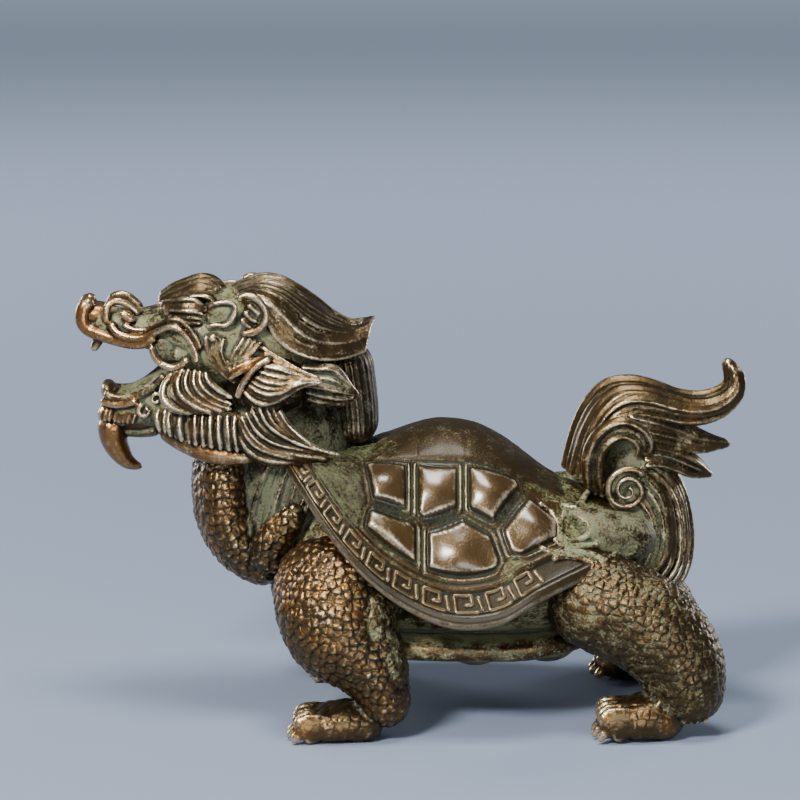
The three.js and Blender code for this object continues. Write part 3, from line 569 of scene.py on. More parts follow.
def mirrored(forms):
    """The same forms on the other flank."""
    flip = np.array([1, -1, 1, 1, 1])
    return [{**f, "stations": f["stations"] * flip, "across": f["across"] * flip[:3]} for f in forms]


def both(forms):
    """The forms, and the same on the other flank."""
    return forms + mirrored(forms)


PATH_SAMPLES = 96


def even(path, count):
    """count points evenly spaced along the smooth curve through a path."""
    dense = curve(path, PATH_SAMPLES)
    run = np.concatenate([[0], np.cumsum(np.linalg.norm(np.diff(dense, axis=0), axis=1))])
    at = np.linspace(0, run[-1], count)
    return np.column_stack([np.interp(at, run, column) for column in dense.T])


STRAND_STATIONS = 11
THINNEST, THICKEST = 0.4, 1.3
RIDGED = 1.3  # how sharp the ridge of a strand is, 2 for none
FULL_FROM, FULL_TO = 0.25, 0.7  # the stretch of a strand that has its full thickness
ALTERNATING, UNEVEN = 0.1, 0.06  # how much thicker every other strand is, and how much by chance
STRAY = 0.13  # how far a strand wanders from its place, as a share of the room between strands


def strands(guides, count, fill=0.56, ends=(0.75, 0.5), swell=0.0, **looks):
    """Strands side by side between the guides, each as thick as its neighbours leave it room for.
    fill is that share, ends what is left of it at the root and at the tip, and swell how far
    the middle of the bundle stands out."""
    paths = np.stack([even(guide, STRAND_STATIONS) for guide in guides])
    rows = curve(paths.reshape(len(guides), -1), count).reshape(count, STRAND_STATIONS, 3)
    way = np.linspace(0, 1, STRAND_STATIONS)
    side = np.linspace(0, 1, count)
    inner = np.sin(math.pi * way)
    rows[:, :, 1] -= swell * np.outer(np.sin(math.pi * side), inner)
    gaps = np.linalg.norm(np.diff(rows, axis=0), axis=2)
    room = np.vstack([gaps[:1], (gaps[1:] + gaps[:-1]) / 2, gaps[-1:]])
    taper = np.interp(way, (0, FULL_FROM, FULL_TO, 1), (ends[0], 1, 1, ends[1]))
    thick = np.clip(room * fill, THINNEST, THICKEST) * taper
    chance = np.random.default_rng(count)
    rows += STRAY * room.mean() * chance.normal(size=(count, 1, 3)) * inner[None, :, None]
    uneven = 1 + ALTERNATING * (-1.0) ** np.arange(count) + UNEVEN * chance.normal(size=count)
    return [form(np.column_stack([path, size * much, size * much]), square=RIDGED, **looks)
            for path, size, much in zip(rows, thick, uneven)]


def roll(path, radius, **looks):
    """A round roll along a path. Its radius may be a pair, at the first and the last point."""
    points = even(path, max(8, 3 * len(path)))
    first, last = np.broadcast_to(radius, 2)
    thick = np.linspace(first, last, len(points))
    return form(np.column_stack([points, thick, thick]), **looks)


SUNK = np.array([0, 0.2, -0.15])  # how deep a roll lies in the shell
FLAP_SAMPLES = 60
FLANK_ROUND, FLANK_OUT = 400, 120  # how many places of the flank a roll can be laid on
BESIDE = 0.4  # how near a place of the flap's skin lies to be under a roll


def laid_on_shell(path):
    """A path of x and z, laid on the shell's left flank."""
    table = rim_table()
    around, out = np.linspace(-math.pi, 0, FLANK_ROUND), np.linspace(0.05, 0.99, FLANK_OUT)
    bearing, share = np.meshgrid(around, out)
    dome = shell_points(bearing, share, table)[0].reshape(-1, 3)
    near = [dome[np.argmin((dome[:, 0] - x) ** 2 + (dome[:, 2] - z) ** 2)] for x, z in path]
    return [tuple(point + SUNK) for point in near]


def laid_on_flap(path):
    """A path of x and z, laid on the shell or on the flap over it, whichever is further out."""
    rows = curve(FLAP, FLAP_SAMPLES)[:, None]
    tangent = np.gradient(rows[:, 0, :3], axis=0)
    depth = np.cross(tangent, ACROSS)
    depth /= np.linalg.norm(depth, axis=1, keepdims=True)
    turn = np.linspace(math.pi / 2, 3 * math.pi / 2, FLAP_SAMPLES)[None, :, None]
    wide = np.cos(turn) * rows[..., 3:4] * ACROSS
    deep = np.sin(turn) * rows[..., 4:5] * depth[:, None]
    skin = (rows[..., :3] + wide + deep).reshape(-1, 3)
    made = []
    for (x, z), on_shell in zip(path, laid_on_shell(path)):
        close = skin[np.hypot(skin[:, 0] - x, skin[:, 2] - z) < BESIDE]
        out = close[:, 1].min(initial=on_shell[1]) if len(close) else on_shell[1]
        made.append((x, out + SUNK[1] / 2, z) if out < on_shell[1] else on_shell)
    return made


CURL_STEP = 20  # degrees between a curl's stations
CURL_RISE = 0.6  # how far a curl's inner end stands out, in radii of its roll


def curl(middle, radius, roll, start, turn, shrink, **looks):
    """A roll that winds on the flank."""
    t = np.linspace(0, 1, max(6, int(abs(turn) / CURL_STEP)))
    angle = np.radians(start + turn * t)
    reach = radius * (1 + (shrink - 1) * t)
    thick = roll * (1 + (math.sqrt(shrink) - 1) * t)
    x, y, z = middle
    bulge = y - CURL_RISE * roll * t
    rows = np.column_stack([x + reach * np.cos(angle), bulge, z + reach * np.sin(angle), thick, thick])
    return form(rows, **looks)


def ball(middle, half_length, half_width, half_height, **looks):
    """A rounded swelling that lies along the figure."""
    x, y, z = middle
    rows = [(x + s * half_length, y, z, half_width, half_height) for s in (-1, -0.4, 0.4, 1)]
    return form(rows, sides=32, **looks)


POINT = 0.02  # what is left of a form's width at its very end


def swept_forms_tree():
    """Sweeps an oval along every wire. Flutes draw it in between their ridges, a square above 2
    fills its corners, and its ends are rounded off."""
    t = Tree("Swept forms")
    wires = t.takes("Wires", "Geometry")
    sides = t.takes("Sides", "Int", 20)
    spacing = t.takes("Spacing", "Float", 0.5 * MM)
    path = t.add("GeometryNodeMeshToCurve", {"Mesh": wires})
    path = t.add("GeometryNodeCurveSplineType", {"Curve": path}, spline_type="CATMULL_ROM")
    path = t.add("GeometryNodeResampleCurve", {"Curve": path, "Length": spacing}, mode="LENGTH")

    along = t.node("GeometryNodeSplineParameter")
    length = t.node("GeometryNodeSplineLength").outputs["Length"]
    from_end = t.math("SUBTRACT", length, along.outputs["Length"])
    to_end = t.math("MINIMUM", along.outputs["Length"], from_end)
    caught = t.node("GeometryNodeCaptureAttribute", {"Geometry": path}, domain="POINT")
    for kind, name in (("VECTOR", "Middle"), ("VECTOR", "Tangent"), ("FLOAT", "To End")):
        caught.capture_items.new(kind, name)
    t.tree.links.new(t.add("GeometryNodeInputPosition"), caught.inputs["Middle"])
    t.tree.links.new(t.add("GeometryNodeInputTangent"), caught.inputs["Tangent"])
    t.tree.links.new(to_end, caught.inputs["To End"])

    ring = t.add("GeometryNodeCurvePrimitiveCircle", {"Resolution": sides, "Radius": MM}, mode="RADIUS")
    round_it = t.node("GeometryNodeCaptureAttribute", {"Geometry": ring}, domain="POINT")
    round_it.capture_items.new("FLOAT", "Round")
    t.tree.links.new(t.node("GeometryNodeSplineParameter").outputs["Factor"], round_it.inputs["Round"])
    profile = round_it.outputs["Geometry"]
    tube = t.add("GeometryNodeCurveToMesh",
                 {"Curve": caught.outputs["Geometry"], "Profile Curve": profile, "Fill Caps": True})

    tangent = caught.outputs["Tangent"]
    across = t.named("across", "FLOAT_VECTOR")
    along_part = t.times(tangent, t.dot(across, tangent))
    width = t.vector("NORMALIZE", t.vector("SUBTRACT", across, along_part))
    depth = t.vector("CROSS_PRODUCT", tangent, width)
    angle = t.math("MULTIPLY", round_it.outputs["Round"], 2 * math.pi)
    cos, sin = t.math("COSINE", angle), t.math("SINE", angle)

    square = t.named("square")
    corner = t.math("ADD", t.math("POWER", t.math("ABSOLUTE", cos), square),
                    t.math("POWER", t.math("ABSOLUTE", sin), square))
    corner = t.math("POWER", corner, t.math("DIVIDE", -1.0, square))
    half_turns = t.math("MULTIPLY", angle, t.math("DIVIDE", t.named("flutes"), 2.0))
    lobes = t.math("ABSOLUTE", t.math("SINE", half_turns))
    drawn_in = t.math("MULTIPLY", t.named("groove"), t.math("SUBTRACT", 1.0, lobes))
    reach = t.math("MULTIPLY", corner, t.math("SUBTRACT", 1.0, drawn_in))

    half_width, half_depth = t.named("half_width"), t.named("half_depth")
    short = t.math("SUBTRACT", 1.0, t.math("DIVIDE", caught.outputs["To End"],
                                           t.math("MINIMUM", half_width, half_depth), clamp=True))
    cap = t.math("SQRT", t.math("SUBTRACT", 1.0, t.math("MULTIPLY", short, short)))
    reach = t.math("MULTIPLY", reach, t.math("MAXIMUM", cap, POINT))
    wide = t.times(width, t.math("MULTIPLY", t.math("MULTIPLY", cos, half_width), reach))
    deep = t.times(depth, t.math("MULTIPLY", t.math("MULTIPLY", sin, half_depth), reach))
    place = t.vector("ADD", caught.outputs["Middle"], t.vector("ADD", wide, deep))
    made = t.add("GeometryNodeSetPosition", {"Geometry": tube, "Position": place})
    t.gives("Geometry", "Geometry", t.add("GeometryNodeRealizeInstances", {"Geometry": made}))
    return t.tree


SCALE_SCATTER = 0.75  # how unevenly the scales are set
SCALE_REACH = 0.8  # how far a scale's dome falls off, in scales
SCALE_LEAN = (0.5, 0.0, -0.85)  # where the free edge of a scale points
LEAN_RISE, DOME_RISE = 1.5, 0.85  # how much its free edge and its middle stand out
PITTING, CRUST = 380.0, 3.0  # how fine the casting's pits are, and how much deeper below verdigris
LOOK_BLUR = 6  # rounds of smoothing where one look meets another
# The skin is measured against itself, smoothed in so many rounds, over so much depth.
MEASURES = (("edge", 8, 0.07 * MM), ("hollow", 50, 0.55 * MM))
SKY_COUNT = 22  # directions in which the shelter of a place is looked for
SKY_REACH = 9 * MM
SKY_START = 0.12 * MM  # how far off the skin the look begins


def sky():
    """Directions spread evenly over the sphere."""
    k = np.arange(SKY_COUNT) + 0.5
    z = 1 - 2 * k / SKY_COUNT
    turn = math.pi * (1 + math.sqrt(5)) * k
    flat = np.sqrt(1 - z * z)
    return np.column_stack([flat * np.cos(turn), flat * np.sin(turn), z])


def chased_surface_tree():
    """Softens the skin, raises its scales, and notes where it is hollow, sheltered or exposed."""
    t = Tree("Chased surface")
    skin = t.takes("Skin", "Geometry")
    forms = t.takes("Forms", "Object")
    softening = t.takes("Softening", "Int", 2)
    scale_size = t.takes("Scale Size", "Float", 1.35 * MM)
    scale_height = t.takes("Scale Height", "Float", 0.22 * MM)
    grain = t.takes("Grain", "Float", 0.04 * MM)
    finish = t.takes("Finish", "Material")

    def blurred(value, steps, kind="FLOAT"):
        return t.add("GeometryNodeBlurAttribute", {"Value": value, "Iterations": steps}, data_type=kind)

    def stored(skin, name, value):
        return t.add("GeometryNodeStoreNamedAttribute", {"Geometry": skin, "Name": name, "Value": value},
                     domain="POINT")

    position = t.add("GeometryNodeInputPosition")
    normal = t.add("GeometryNodeInputNormal")
    skin = t.add("GeometryNodeSetPosition",
                 {"Geometry": skin, "Position": blurred(position, softening, "FLOAT_VECTOR")})
    model = t.node("GeometryNodeObjectInfo", {"Object": forms}).outputs["Geometry"]
    for look in LOOKS:
        near = t.add("GeometryNodeSampleNearestSurface", {"Mesh": model, "Value": t.named(look)})
        skin = stored(skin, look, near)
        skin = stored(skin, look, blurred(t.named(look), LOOK_BLUR))

    pitch = t.math("DIVIDE", 1.0, scale_size)
    cells = {"Vector": position, "Scale": pitch, "Randomness": SCALE_SCATTER}
    scale = t.node("ShaderNodeTexVoronoi", cells, feature="F1")
    out = t.math("DIVIDE", scale.outputs["Distance"], SCALE_REACH, clamp=True)
    dome = t.math("SUBTRACT", 1.0, t.math("MULTIPLY", out, out))
    hang = t.dot(t.vector("SUBTRACT", position, scale.outputs["Position"]), SCALE_LEAN)
    hang = t.math("MULTIPLY", hang, t.math("MULTIPLY", pitch, LEAN_RISE))
    raised = t.math("MULTIPLY", dome, t.math("ADD", hang, DOME_RISE))
    raised = t.math("MULTIPLY", t.math("MULTIPLY", raised, t.named("scaled")), scale_height)
    coarse = t.node("ShaderNodeTexNoise", {"Vector": position, "Scale": PITTING, "Detail": 3.0}).outputs[0]
    crusted = t.math("MULTIPLY_ADD", t.named("verdigris"), CRUST, 1.0)
    pitted = t.math("MULTIPLY", t.math("MULTIPLY", t.math("SUBTRACT", coarse, 0.5), crusted), grain)
    offset = t.times(normal, t.math("ADD", raised, pitted))
    skin = t.add("GeometryNodeSetPosition", {"Geometry": skin, "Offset": offset})
    # Nothing goes below the floor. The figure is far smaller than the other two bounds.
    on_ground = t.vector("MAXIMUM", position, (-1.0, -1.0, 0.0))
    skin = t.add("GeometryNodeSetPosition", {"Geometry": skin, "Position": on_ground})

    for name, steps, depth in MEASURES:
        out = t.dot(t.vector("SUBTRACT", position, blurred(position, steps, "FLOAT_VECTOR")), normal)
        skin = stored(skin, name, t.math("DIVIDE", out, depth))

    start = t.vector("ADD", position, t.times(normal, SKY_START))
    hidden, seen = None, None
    for direction in sky():
        weight = t.math("MAXIMUM", t.dot(normal, tuple(direction)), 0.0)
        ray = t.node("GeometryNodeRaycast", {"Target Geometry": skin, "Source Position": start,
                                             "Ray Direction": tuple(direction), "Ray Length": SKY_REACH})
        near = t.math("SUBTRACT", 1.0, t.math("DIVIDE", ray.outputs["Hit Distance"], SKY_REACH))
        blocked = t.math("MULTIPLY", t.math("MULTIPLY", near, weight), ray.outputs["Is Hit"])
        hidden = blocked if hidden is None else t.math("ADD", hidden, blocked)
        seen = weight if seen is None else t.math("ADD", seen, weight)
    skin = stored(skin, "shelter", t.math("DIVIDE", hidden, seen))
    skin = t.add("GeometryNodeSetShadeSmooth", {"Geometry": skin})
    skin = t.add("GeometryNodeSetMaterial", {"Geometry": skin, "Material": finish})
    t.gives("Geometry", "Geometry", t.add("GeometryNodeRealizeInstances", {"Geometry": skin}))
    return t.tree


def group(name, build):
    """The node group of that name, built the first time it is asked for."""
    return bpy.data.node_groups.get(name) or build()


def linked(name, mesh):
    """A new object in the scene, with the mesh, the light or the camera."""
    made = bpy.data.objects.new(name, mesh)
    bpy.context.scene.collection.objects.link(made)
    return made


def with_nodes(piece, tree, values):
    """Adds a geometry nodes modifier with its named inputs set."""
    modifier = piece.modifiers.new(tree.name, "NODES")
    modifier.node_group = tree
    for item in tree.interface.items_tree:
        if item.in_out == "INPUT" and item.name in values:
            modifier[item.identifier] = values[item.name]


def settled(piece):
    """The piece's mesh with its modifiers worked in, in place of them."""
    evaluated = piece.evaluated_get(bpy.context.evaluated_depsgraph_get())
    mesh = bpy.data.meshes.new_from_object(evaluated, preserve_all_data_layers=True,
                                           depsgraph=bpy.context.evaluated_depsgraph_get())
    piece.modifiers.clear()
    piece.data = mesh
    mesh.name = piece.name
    return piece


def dropped(piece):
    """Takes a piece that only helped out of the scene."""
    bpy.data.objects.remove(piece)


def wire_mesh(forms):
    """The forms' paths as edges, with their sizes and looks on the points."""
    mesh = bpy.data.meshes.new("wires")
    rows = np.vstack([f["stations"] for f in forms])
    counts = [len(f["stations"]) for f in forms]
    lasts = set((np.cumsum(counts) - 1).tolist())
    edges = [(i, i + 1) for i in range(len(rows)) if i not in lasts]
    mesh.from_pydata(in_frame(rows[:, :3]).tolist(), edges, [])
    columns = {"half_width": rows[:, 3] * TO_FRAME, "half_depth": rows[:, 4] * TO_FRAME}
    for name in forms[0]["values"]:
        columns[name] = np.repeat([float(f["values"][name]) for f in forms], counts)
    for name, column in columns.items():
        mesh.attributes.new(name, "FLOAT", "POINT").data.foreach_set("value", column.astype(np.float32))
    across = np.vstack([f["across"] for f in forms]).astype(np.float32)
    mesh.attributes.new("across", "FLOAT_VECTOR", "POINT").data.foreach_set("vector", across.ravel())
    return mesh


def swept(name, forms, spacing=0.5 * MM):
    """All the forms as one mesh of closed, overlapping shells."""
    tree = group("Swept forms", swept_forms_tree)
    made = []
    for sides in sorted({f["sides"] for f in forms}):
        piece = linked(name, wire_mesh([f for f in forms if f["sides"] == sides]))
        with_nodes(piece, tree, {"Sides": sides, "Spacing": spacing})
        made.append(settled(piece))
    whole = made[0]
    if len(made) > 1:
        with bpy.context.temp_override(active_object=whole, selected_editable_objects=made):
            bpy.ops.object.join()
    return whole


# The most triangles that each piece may keep.
MOST_TRIANGLES = {
    "turtle_body": 90_000, "turtle_legs": 185_000, "turtle_shell": 150_000, "dragon_head": 140_000,
    "dragon_mane": 110_000, "dragon_beard": 130_000, "turtle_tail": 120_000,
}


def cast(name, forms, finish, voxel, **chasing):
    """Joins the forms into one skin and chases it."""
    pattern = swept(name + "_forms", forms)
    piece = linked(name, pattern.data.copy())
    remesh = piece.modifiers.new("Join", "REMESH")
    remesh.mode = "VOXEL"
    remesh.voxel_size = voxel
    with_nodes(piece, group("Chased surface", chased_surface_tree),
               {"Forms": pattern, "Finish": finish, **chasing})
    settled(piece)
    dropped(pattern)
    return without_specks(thinned(piece))


def thinned(piece):
    """Brings the piece down to the most triangles it may keep."""
    triangles = sum(len(face.vertices) - 2 for face in piece.data.polygons)
    if triangles > MOST_TRIANGLES[piece.name]:
        decimate = piece.modifiers.new("Thin", "DECIMATE")
        decimate.ratio = MOST_TRIANGLES[piece.name] / triangles
        settled(piece)
    return piece


SPECK = 100  # a loose part with fewer points is a stub that the joining left


def without_specks(piece):
    """Takes away the specks that thin ends leave when the forms are joined."""
    work = bmesh.new()
    work.from_mesh(piece.data)
    seen = set()
    specks = []
    for start in work.verts:
        if start in seen:
            continue
        seen.add(start)
        part = [start]
        for vert in part:
            for edge in vert.link_edges:
                other = edge.other_vert(vert)
                if other not in seen:
                    seen.add(other)
                    part.append(other)
        if len(part) < SPECK:
            specks += part
    bmesh.ops.delete(work, geom=specks, context="VERTS")
    work.to_mesh(piece.data)
    work.free()
    return piece


def placed(piece):
    """Rides the piece on the body and lets it stand for the casting."""
    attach(piece, BODY)
    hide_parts(NODE)


# Surfaces

COAT_ROUGHNESS = 0.2
BUMP_DEPTH = 0.2 * MM
# The shell and the rim get less of the painted highlight and rubbing on their ridges than the figure.
SHELL_FINISH = {
    "bump": 0.7, "specular": 0.15, "Cover": -0.04, "Wear": -0.35, "Rough": 0.4, "Wax": 1.0,
    "Metal Share": 0.5,
    "Bronze": (0.03, 0.017, 0.005, 1), "Warm": (0.05, 0.028, 0.008, 1), "Worn": (0.36, 0.3, 0.2, 1),
}
RIM_FINISH = {
    "bump": 0.3, "specular": 0.3, "Cover": 0.1, "Wear": -0.9, "Metal Share": 0.5,
    "Bronze": (0.04, 0.027, 0.012, 1), "Warm": (0.09, 0.054, 0.02, 1), "Worn": (0.2, 0.15, 0.08, 1),
    "Green": (0.07, 0.07, 0.03, 1),
}


def noise(t, scale, detail=4.0, roughness=0.55):
    """Noise about zero, in the piece's own coordinates."""
    place = t.node("ShaderNodeTexCoord").outputs["Object"]
    inputs = {"Vector": place, "Scale": scale, "Detail": detail, "Roughness": roughness}
    return t.math("SUBTRACT", t.node("ShaderNodeTexNoise", inputs).outputs[0], 0.5)


def attribute(t, name):
    """A value that the chased surface noted on the mesh."""
    return t.node("ShaderNodeAttribute", attribute_name=name).outputs["Fac"]


def total(t, *parts):
    """The sum of values, each given with its factor."""
    whole = 0.0
    for value, factor in parts:
        whole = t.math("MULTIPLY_ADD", value, factor, whole)
    return whole


SEAM_REACH, DOME_REACH = 0.1, 0.3  # how far a seam and a scale's dome run from the seam, in scales


def scale_pattern_group():
    """The seams between the scales, and how they are domed, where the piece is scaled."""
    t = Tree("Scale pattern", "ShaderNodeTree")
    size = t.takes("Scale Size", "Float", 1.35 * MM)
    amount = attribute(t, "scaled")
    place = t.node("ShaderNodeTexCoord").outputs["Object"]
    cells = {"Vector": place, "Scale": t.math("DIVIDE", 1.0, size), "Randomness": SCALE_SCATTER}
    to_seam = t.node("ShaderNodeTexVoronoi", cells, feature="DISTANCE_TO_EDGE").outputs["Distance"]
    seam = t.math("SUBTRACT", 1.0, t.rise(to_seam, 0.0, SEAM_REACH))
    short = t.math("SUBTRACT", 1.0, t.math("DIVIDE", to_seam, DOME_REACH, clamp=True))
    dome = t.math("SUBTRACT", 1.0, t.math("MULTIPLY", short, short))
    t.gives("Seam", "Float", t.math("MULTIPLY", seam, amount))
    t.gives("Dome", "Float", t.math("MULTIPLY", dome, amount))
    return t.tree


# Dust is patina; the second cover paints the ridges lighter, for rubbing and for a highlight; the third
# paints shade and a darker tone.
DUST_COVER, WEAR_AND_HIGHLIGHT_COVER, SHADE_AND_DARK_COVER = 0.85, 0.72, 0.94  # how much of the colour below each hides
CLOUDS, PATCHES, SPECKS = 130.0, 520.0, 2600.0  # three sizes of noise, in waves a metre
# What drives each mask, and the sums between which it rises from 0 to 1. Dust and warmth are patina; the
# groove and shade masks paint shade into the grooves and the sheltered places, and the ridges' mask paints
# them lighter, for rubbing and for a highlight.
MASKS = {
    "groove": ({"edge": -1.0, "scaled": -0.3, "specks": 0.9}, 0.1, 0.8),
    "wear_and_highlight": ({
        "edge": 1.0, "scaled": -0.75, "verdigris": -0.25, "patches": 1.7, "specks": 1.6, "wear": 1.0,
    }, 0.5, 1.9),
    "dust": ({
        "hollow": -0.38, "edge": -0.12, "shelter": 0.4, "verdigris": 0.62, "polish": -0.7, "clouds": 1.0,
        "patches": 1.1, "specks": 1.3, "cover": 1.0,
    }, 0.2, 0.8),
    "warmth": ({"polish": 0.75, "hollow": 0.3, "clouds": 1.8, "shelter": -0.5}, 0.05, 0.95),
    "shade": ({"shelter": 1.0, "hollow": -0.2, "specks": 0.5}, 0.42, 0.95),
}


def patina_group():
    """The colours of old bronze: brown skin, green dust in the hollows, ridges painted lighter, partly
    rubbed bronze and partly a painted highlight, and painted shade in the grooves, the seams and the
    sheltered places.
    """
    t = Tree("Patina", "ShaderNodeTree")
    bronze = t.takes("Bronze", "Color", (0.065, 0.042, 0.018, 1))
    warm = t.takes("Warm", "Color", (0.2, 0.095, 0.028, 1))
    # A light colour, for the rubbed ridges and for a painted highlight on them.
    worn_and_highlight_colour = t.takes("Worn", "Color", (0.64, 0.52, 0.33, 1))
    green = t.takes("Green", "Color", (0.135, 0.145, 0.066, 1))
    # The colour of painted shade and of a darker tone.
    shade_and_dark_colour = t.takes("Dark", "Color", (0.006, 0.007, 0.004, 1))
    cover = t.takes("Cover", "Float", 0.0)
    rough = t.takes("Rough", "Float", 0.36)
    wax = t.takes("Wax", "Float", 0.2)
    metal = t.takes("Metal Share", "Float", 0.92)
    # How much the ridges are painted lighter, for rubbing and for a highlight.
    wear = t.takes("Wear", "Float", 0.0)
    # Where the scales meet; painted in shade below.
    seam = t.takes("Seam", "Float", 0.0)

    drives = {name: attribute(t, name) for name in (*LOOKS, "edge", "hollow", "shelter")}
    drives.update(clouds=noise(t, CLOUDS), patches=noise(t, PATCHES), specks=noise(t, SPECKS, 2.0),
                  cover=cover, wear=wear)

    def mask(name):
        parts, low, high = MASKS[name]
        return t.rise(total(t, *((drives[part], factor) for part, factor in parts.items())), low, high)

    polish, verdigris, soot = drives["polish"], drives["verdigris"], drives["soot"]
    patches, specks = drives["patches"], drives["specks"]
    groove, wear_and_highlight, dust, warmth, shade = (mask(name) for name in MASKS)
    # Painted shade in the sheltered places, weaker where the skin is green. Below, it joins the painted
    # shade of the grooves and of the seams between scales, and the look of painted shade and darker tone.
    shade = t.math("MULTIPLY", shade, t.math("MULTIPLY_ADD", verdigris, -0.5, 1.0))
    deep = t.math("MAXIMUM", t.math("MAXIMUM", t.math("MULTIPLY", groove, 0.95), shade),
                  t.math("MAXIMUM", t.math("MULTIPLY", seam, 0.3), t.math("MULTIPLY", soot, 0.9)))

    colour = t.blended(warmth, bronze, warm)
    colour = t.blended(t.math("MULTIPLY", dust, DUST_COVER), colour, green)
    # The ridges are painted lighter, for rubbing and for a highlight, and then the shade and the darker
    # tone are painted over everything.
    colour = t.blended(t.math("MULTIPLY", wear_and_highlight, WEAR_AND_HIGHLIGHT_COVER), colour, worn_and_highlight_colour)
    colour = t.blended(t.math("MULTIPLY", deep, SHADE_AND_DARK_COVER), colour, shade_and_dark_colour)
    t.gives("Colour", "Color", colour)
    bare = t.math("SUBTRACT", 1.0, dust)
    t.gives("Metal", "Float", t.math("MULTIPLY", t.math("MAXIMUM", bare, wear_and_highlight), metal))
    waxed = t.math("MULTIPLY", wax, t.math("MULTIPLY_ADD", polish, 0.95, 0.05))
    t.gives("Gloss", "Float", t.math("MULTIPLY", bare, waxed))
    t.gives("Roughness", "Float", total(t, (dust, 0.34), (deep, 0.12), (wear_and_highlight, -0.1), (polish, -0.06),
                                        (patches, 0.3), (rough, 1.0)))
    crust = t.math("MULTIPLY", dust, specks)
    t.gives("Height", "Float", total(t, (patches, 1.0), (specks, 0.5), (crust, 1.5)))
    return t.tree


def bronze_material(name, bump=0.5, scale_size=None, specular=0.5, **sockets):
    """Old bronze with its patina, and with the seams of its scales where it has them."""
    material = bpy.data.materials.new(name)
    material.use_nodes = True
    shader = material.node_tree.nodes["Principled BSDF"]
    t = Tree(name, tree=material.node_tree)
    patina = t.node("ShaderNodeGroup", node_tree=group("Patina", patina_group))
    for socket, value in sockets.items():
        patina.inputs[socket].default_value = value
    height = patina.outputs["Height"]
    if scale_size:
        scales = t.node("ShaderNodeGroup", node_tree=group("Scale pattern", scale_pattern_group))
        scales.inputs["Scale Size"].default_value = scale_size
        t.tree.links.new(scales.outputs["Seam"], patina.inputs["Seam"])
        height = t.math("ADD", height, scales.outputs["Dome"])
    relief = t.add("ShaderNodeBump", {"Height": height, "Strength": bump, "Distance": BUMP_DEPTH})
    t.tree.links.new(patina.outputs["Colour"], shader.inputs["Base Color"])
    t.tree.links.new(patina.outputs["Metal"], shader.inputs["Metallic"])
    t.tree.links.new(patina.outputs["Roughness"], shader.inputs["Roughness"])
    t.tree.links.new(patina.outputs["Gloss"], shader.inputs["Coat Weight"])
    shader.inputs["Coat Roughness"].default_value = COAT_ROUGHNESS
    shader.inputs["Specular IOR Level"].default_value = specular
    t.tree.links.new(relief, shader.inputs["Normal"])
    return material


# Pieces

TOE_INSET, TOE_REACH = 1.3, 2.9  # how far in from the pad's side the outer toes are, and how far they reach
TOE_SWEEP = 0.3  # how much less far the outer toes reach


def foot(heel, toe, height, half_width, toe_height):
    """A padded foot with toes, as forms."""
    (heel_x, heel_y), (toe_x, toe_y) = heel, toe
    ahead = math.copysign(1, toe_x - heel_x)
    pad = mass([
        (heel_x, heel_y, 0.8 * height, 0.85 * half_width, 0.8 * height),
        ((heel_x + toe_x) / 2, (heel_y + toe_y) / 2, height, half_width, 0.9 * height),
        (toe_x, toe_y, 0.75 * height, half_width, 0.7 * height),
    ], square=2.5, scaled=0.45, polish=0.2, verdigris=0.2)
    made = [pad]
    for spread in np.linspace(-1, 1, TOES):
        y = toe_y + spread * (half_width - TOE_INSET)
        reach = ahead * (1 - TOE_SWEEP * spread * spread) * TOE_REACH
        made.append(form([
            (toe_x - 5 * ahead, 0.98 * y, 0.64 * toe_height, 0.8, 0.26 * toe_height),
            (toe_x - 0.3 * ahead, y, 0.54 * toe_height, 1.05, 0.44 * toe_height),
            (toe_x + 0.72 * reach, y + 0.3 * spread, 0.38 * toe_height, 0.95, 0.34 * toe_height),
        ], sides=28, scaled=0.2, polish=0.2))
        made.append(form([
            (toe_x + 0.3 * reach, y + 0.3 * spread, 0.4 * toe_height, 0.75, 1),
            (toe_x + 0.85 * reach, y + 0.4 * spread, 0.3 * toe_height, 0.65, 0.8),
            (toe_x + 1.08 * reach, y + 0.5 * spread, 0.12 * toe_height, 0.4, 0.4),
        ], sides=20, polish=0.8))
    return made


def body_forms():
    """The trunk, the plain belly, the neck and the chest."""
    rolls = []
    for x, z in BELLY_ROLLS:
        stations = [(x, -12, z + 1, 3.9, 2.3), (x, 0, z, 5.6, 4.6), (x, 12, z + 1, 3.9, 2.3)]
        rolls.append(mass(stations, across=ALONG, verdigris=0.9))
    # The neck and its strands are painted in shade, as under the ruff and the locks.
    strands_down = strands(NECK_GUIDES, 9, 0.36, (0.7, 0.6), verdigris=0.9, soot=0.65)
    return [
        mass(TRUNK, verdigris=0.7), mass(PLASTRON, square=3, verdigris=0.9), *rolls,
        mass(NECK, verdigris=0.85, soot=0.75), mass(CHEST, scaled=1, polish=0.4),
        *both([mass(SHOULDER, scaled=1), *strands_down]),
    ]


def leg_forms():
    """Four legs with their feet, and the tufts behind the hind feet."""
    legs = [mass(table, scaled=1, polish=0.4) for table in (FORELEG, FAR_FORELEG)]
    # The hind legs are painted a little darker.
    legs += [mass(table, scaled=0.8, verdigris=0.4, soot=0.25) for table in (HIND_LEG, FAR_HIND_LEG)]
    feet = foot(*FOREFOOT) + foot(*FAR_FOREFOOT) + foot(*HINDFOOT) + foot(*FAR_HINDFOOT)
    fetlocks = both(strands(FETLOCK_GUIDES, 9, 0.45, (0.8, 0.8), verdigris=0.3))
    return [*legs, mass(FORELEG_BACK, scaled=0.9, verdigris=0.8), *feet, *fetlocks]


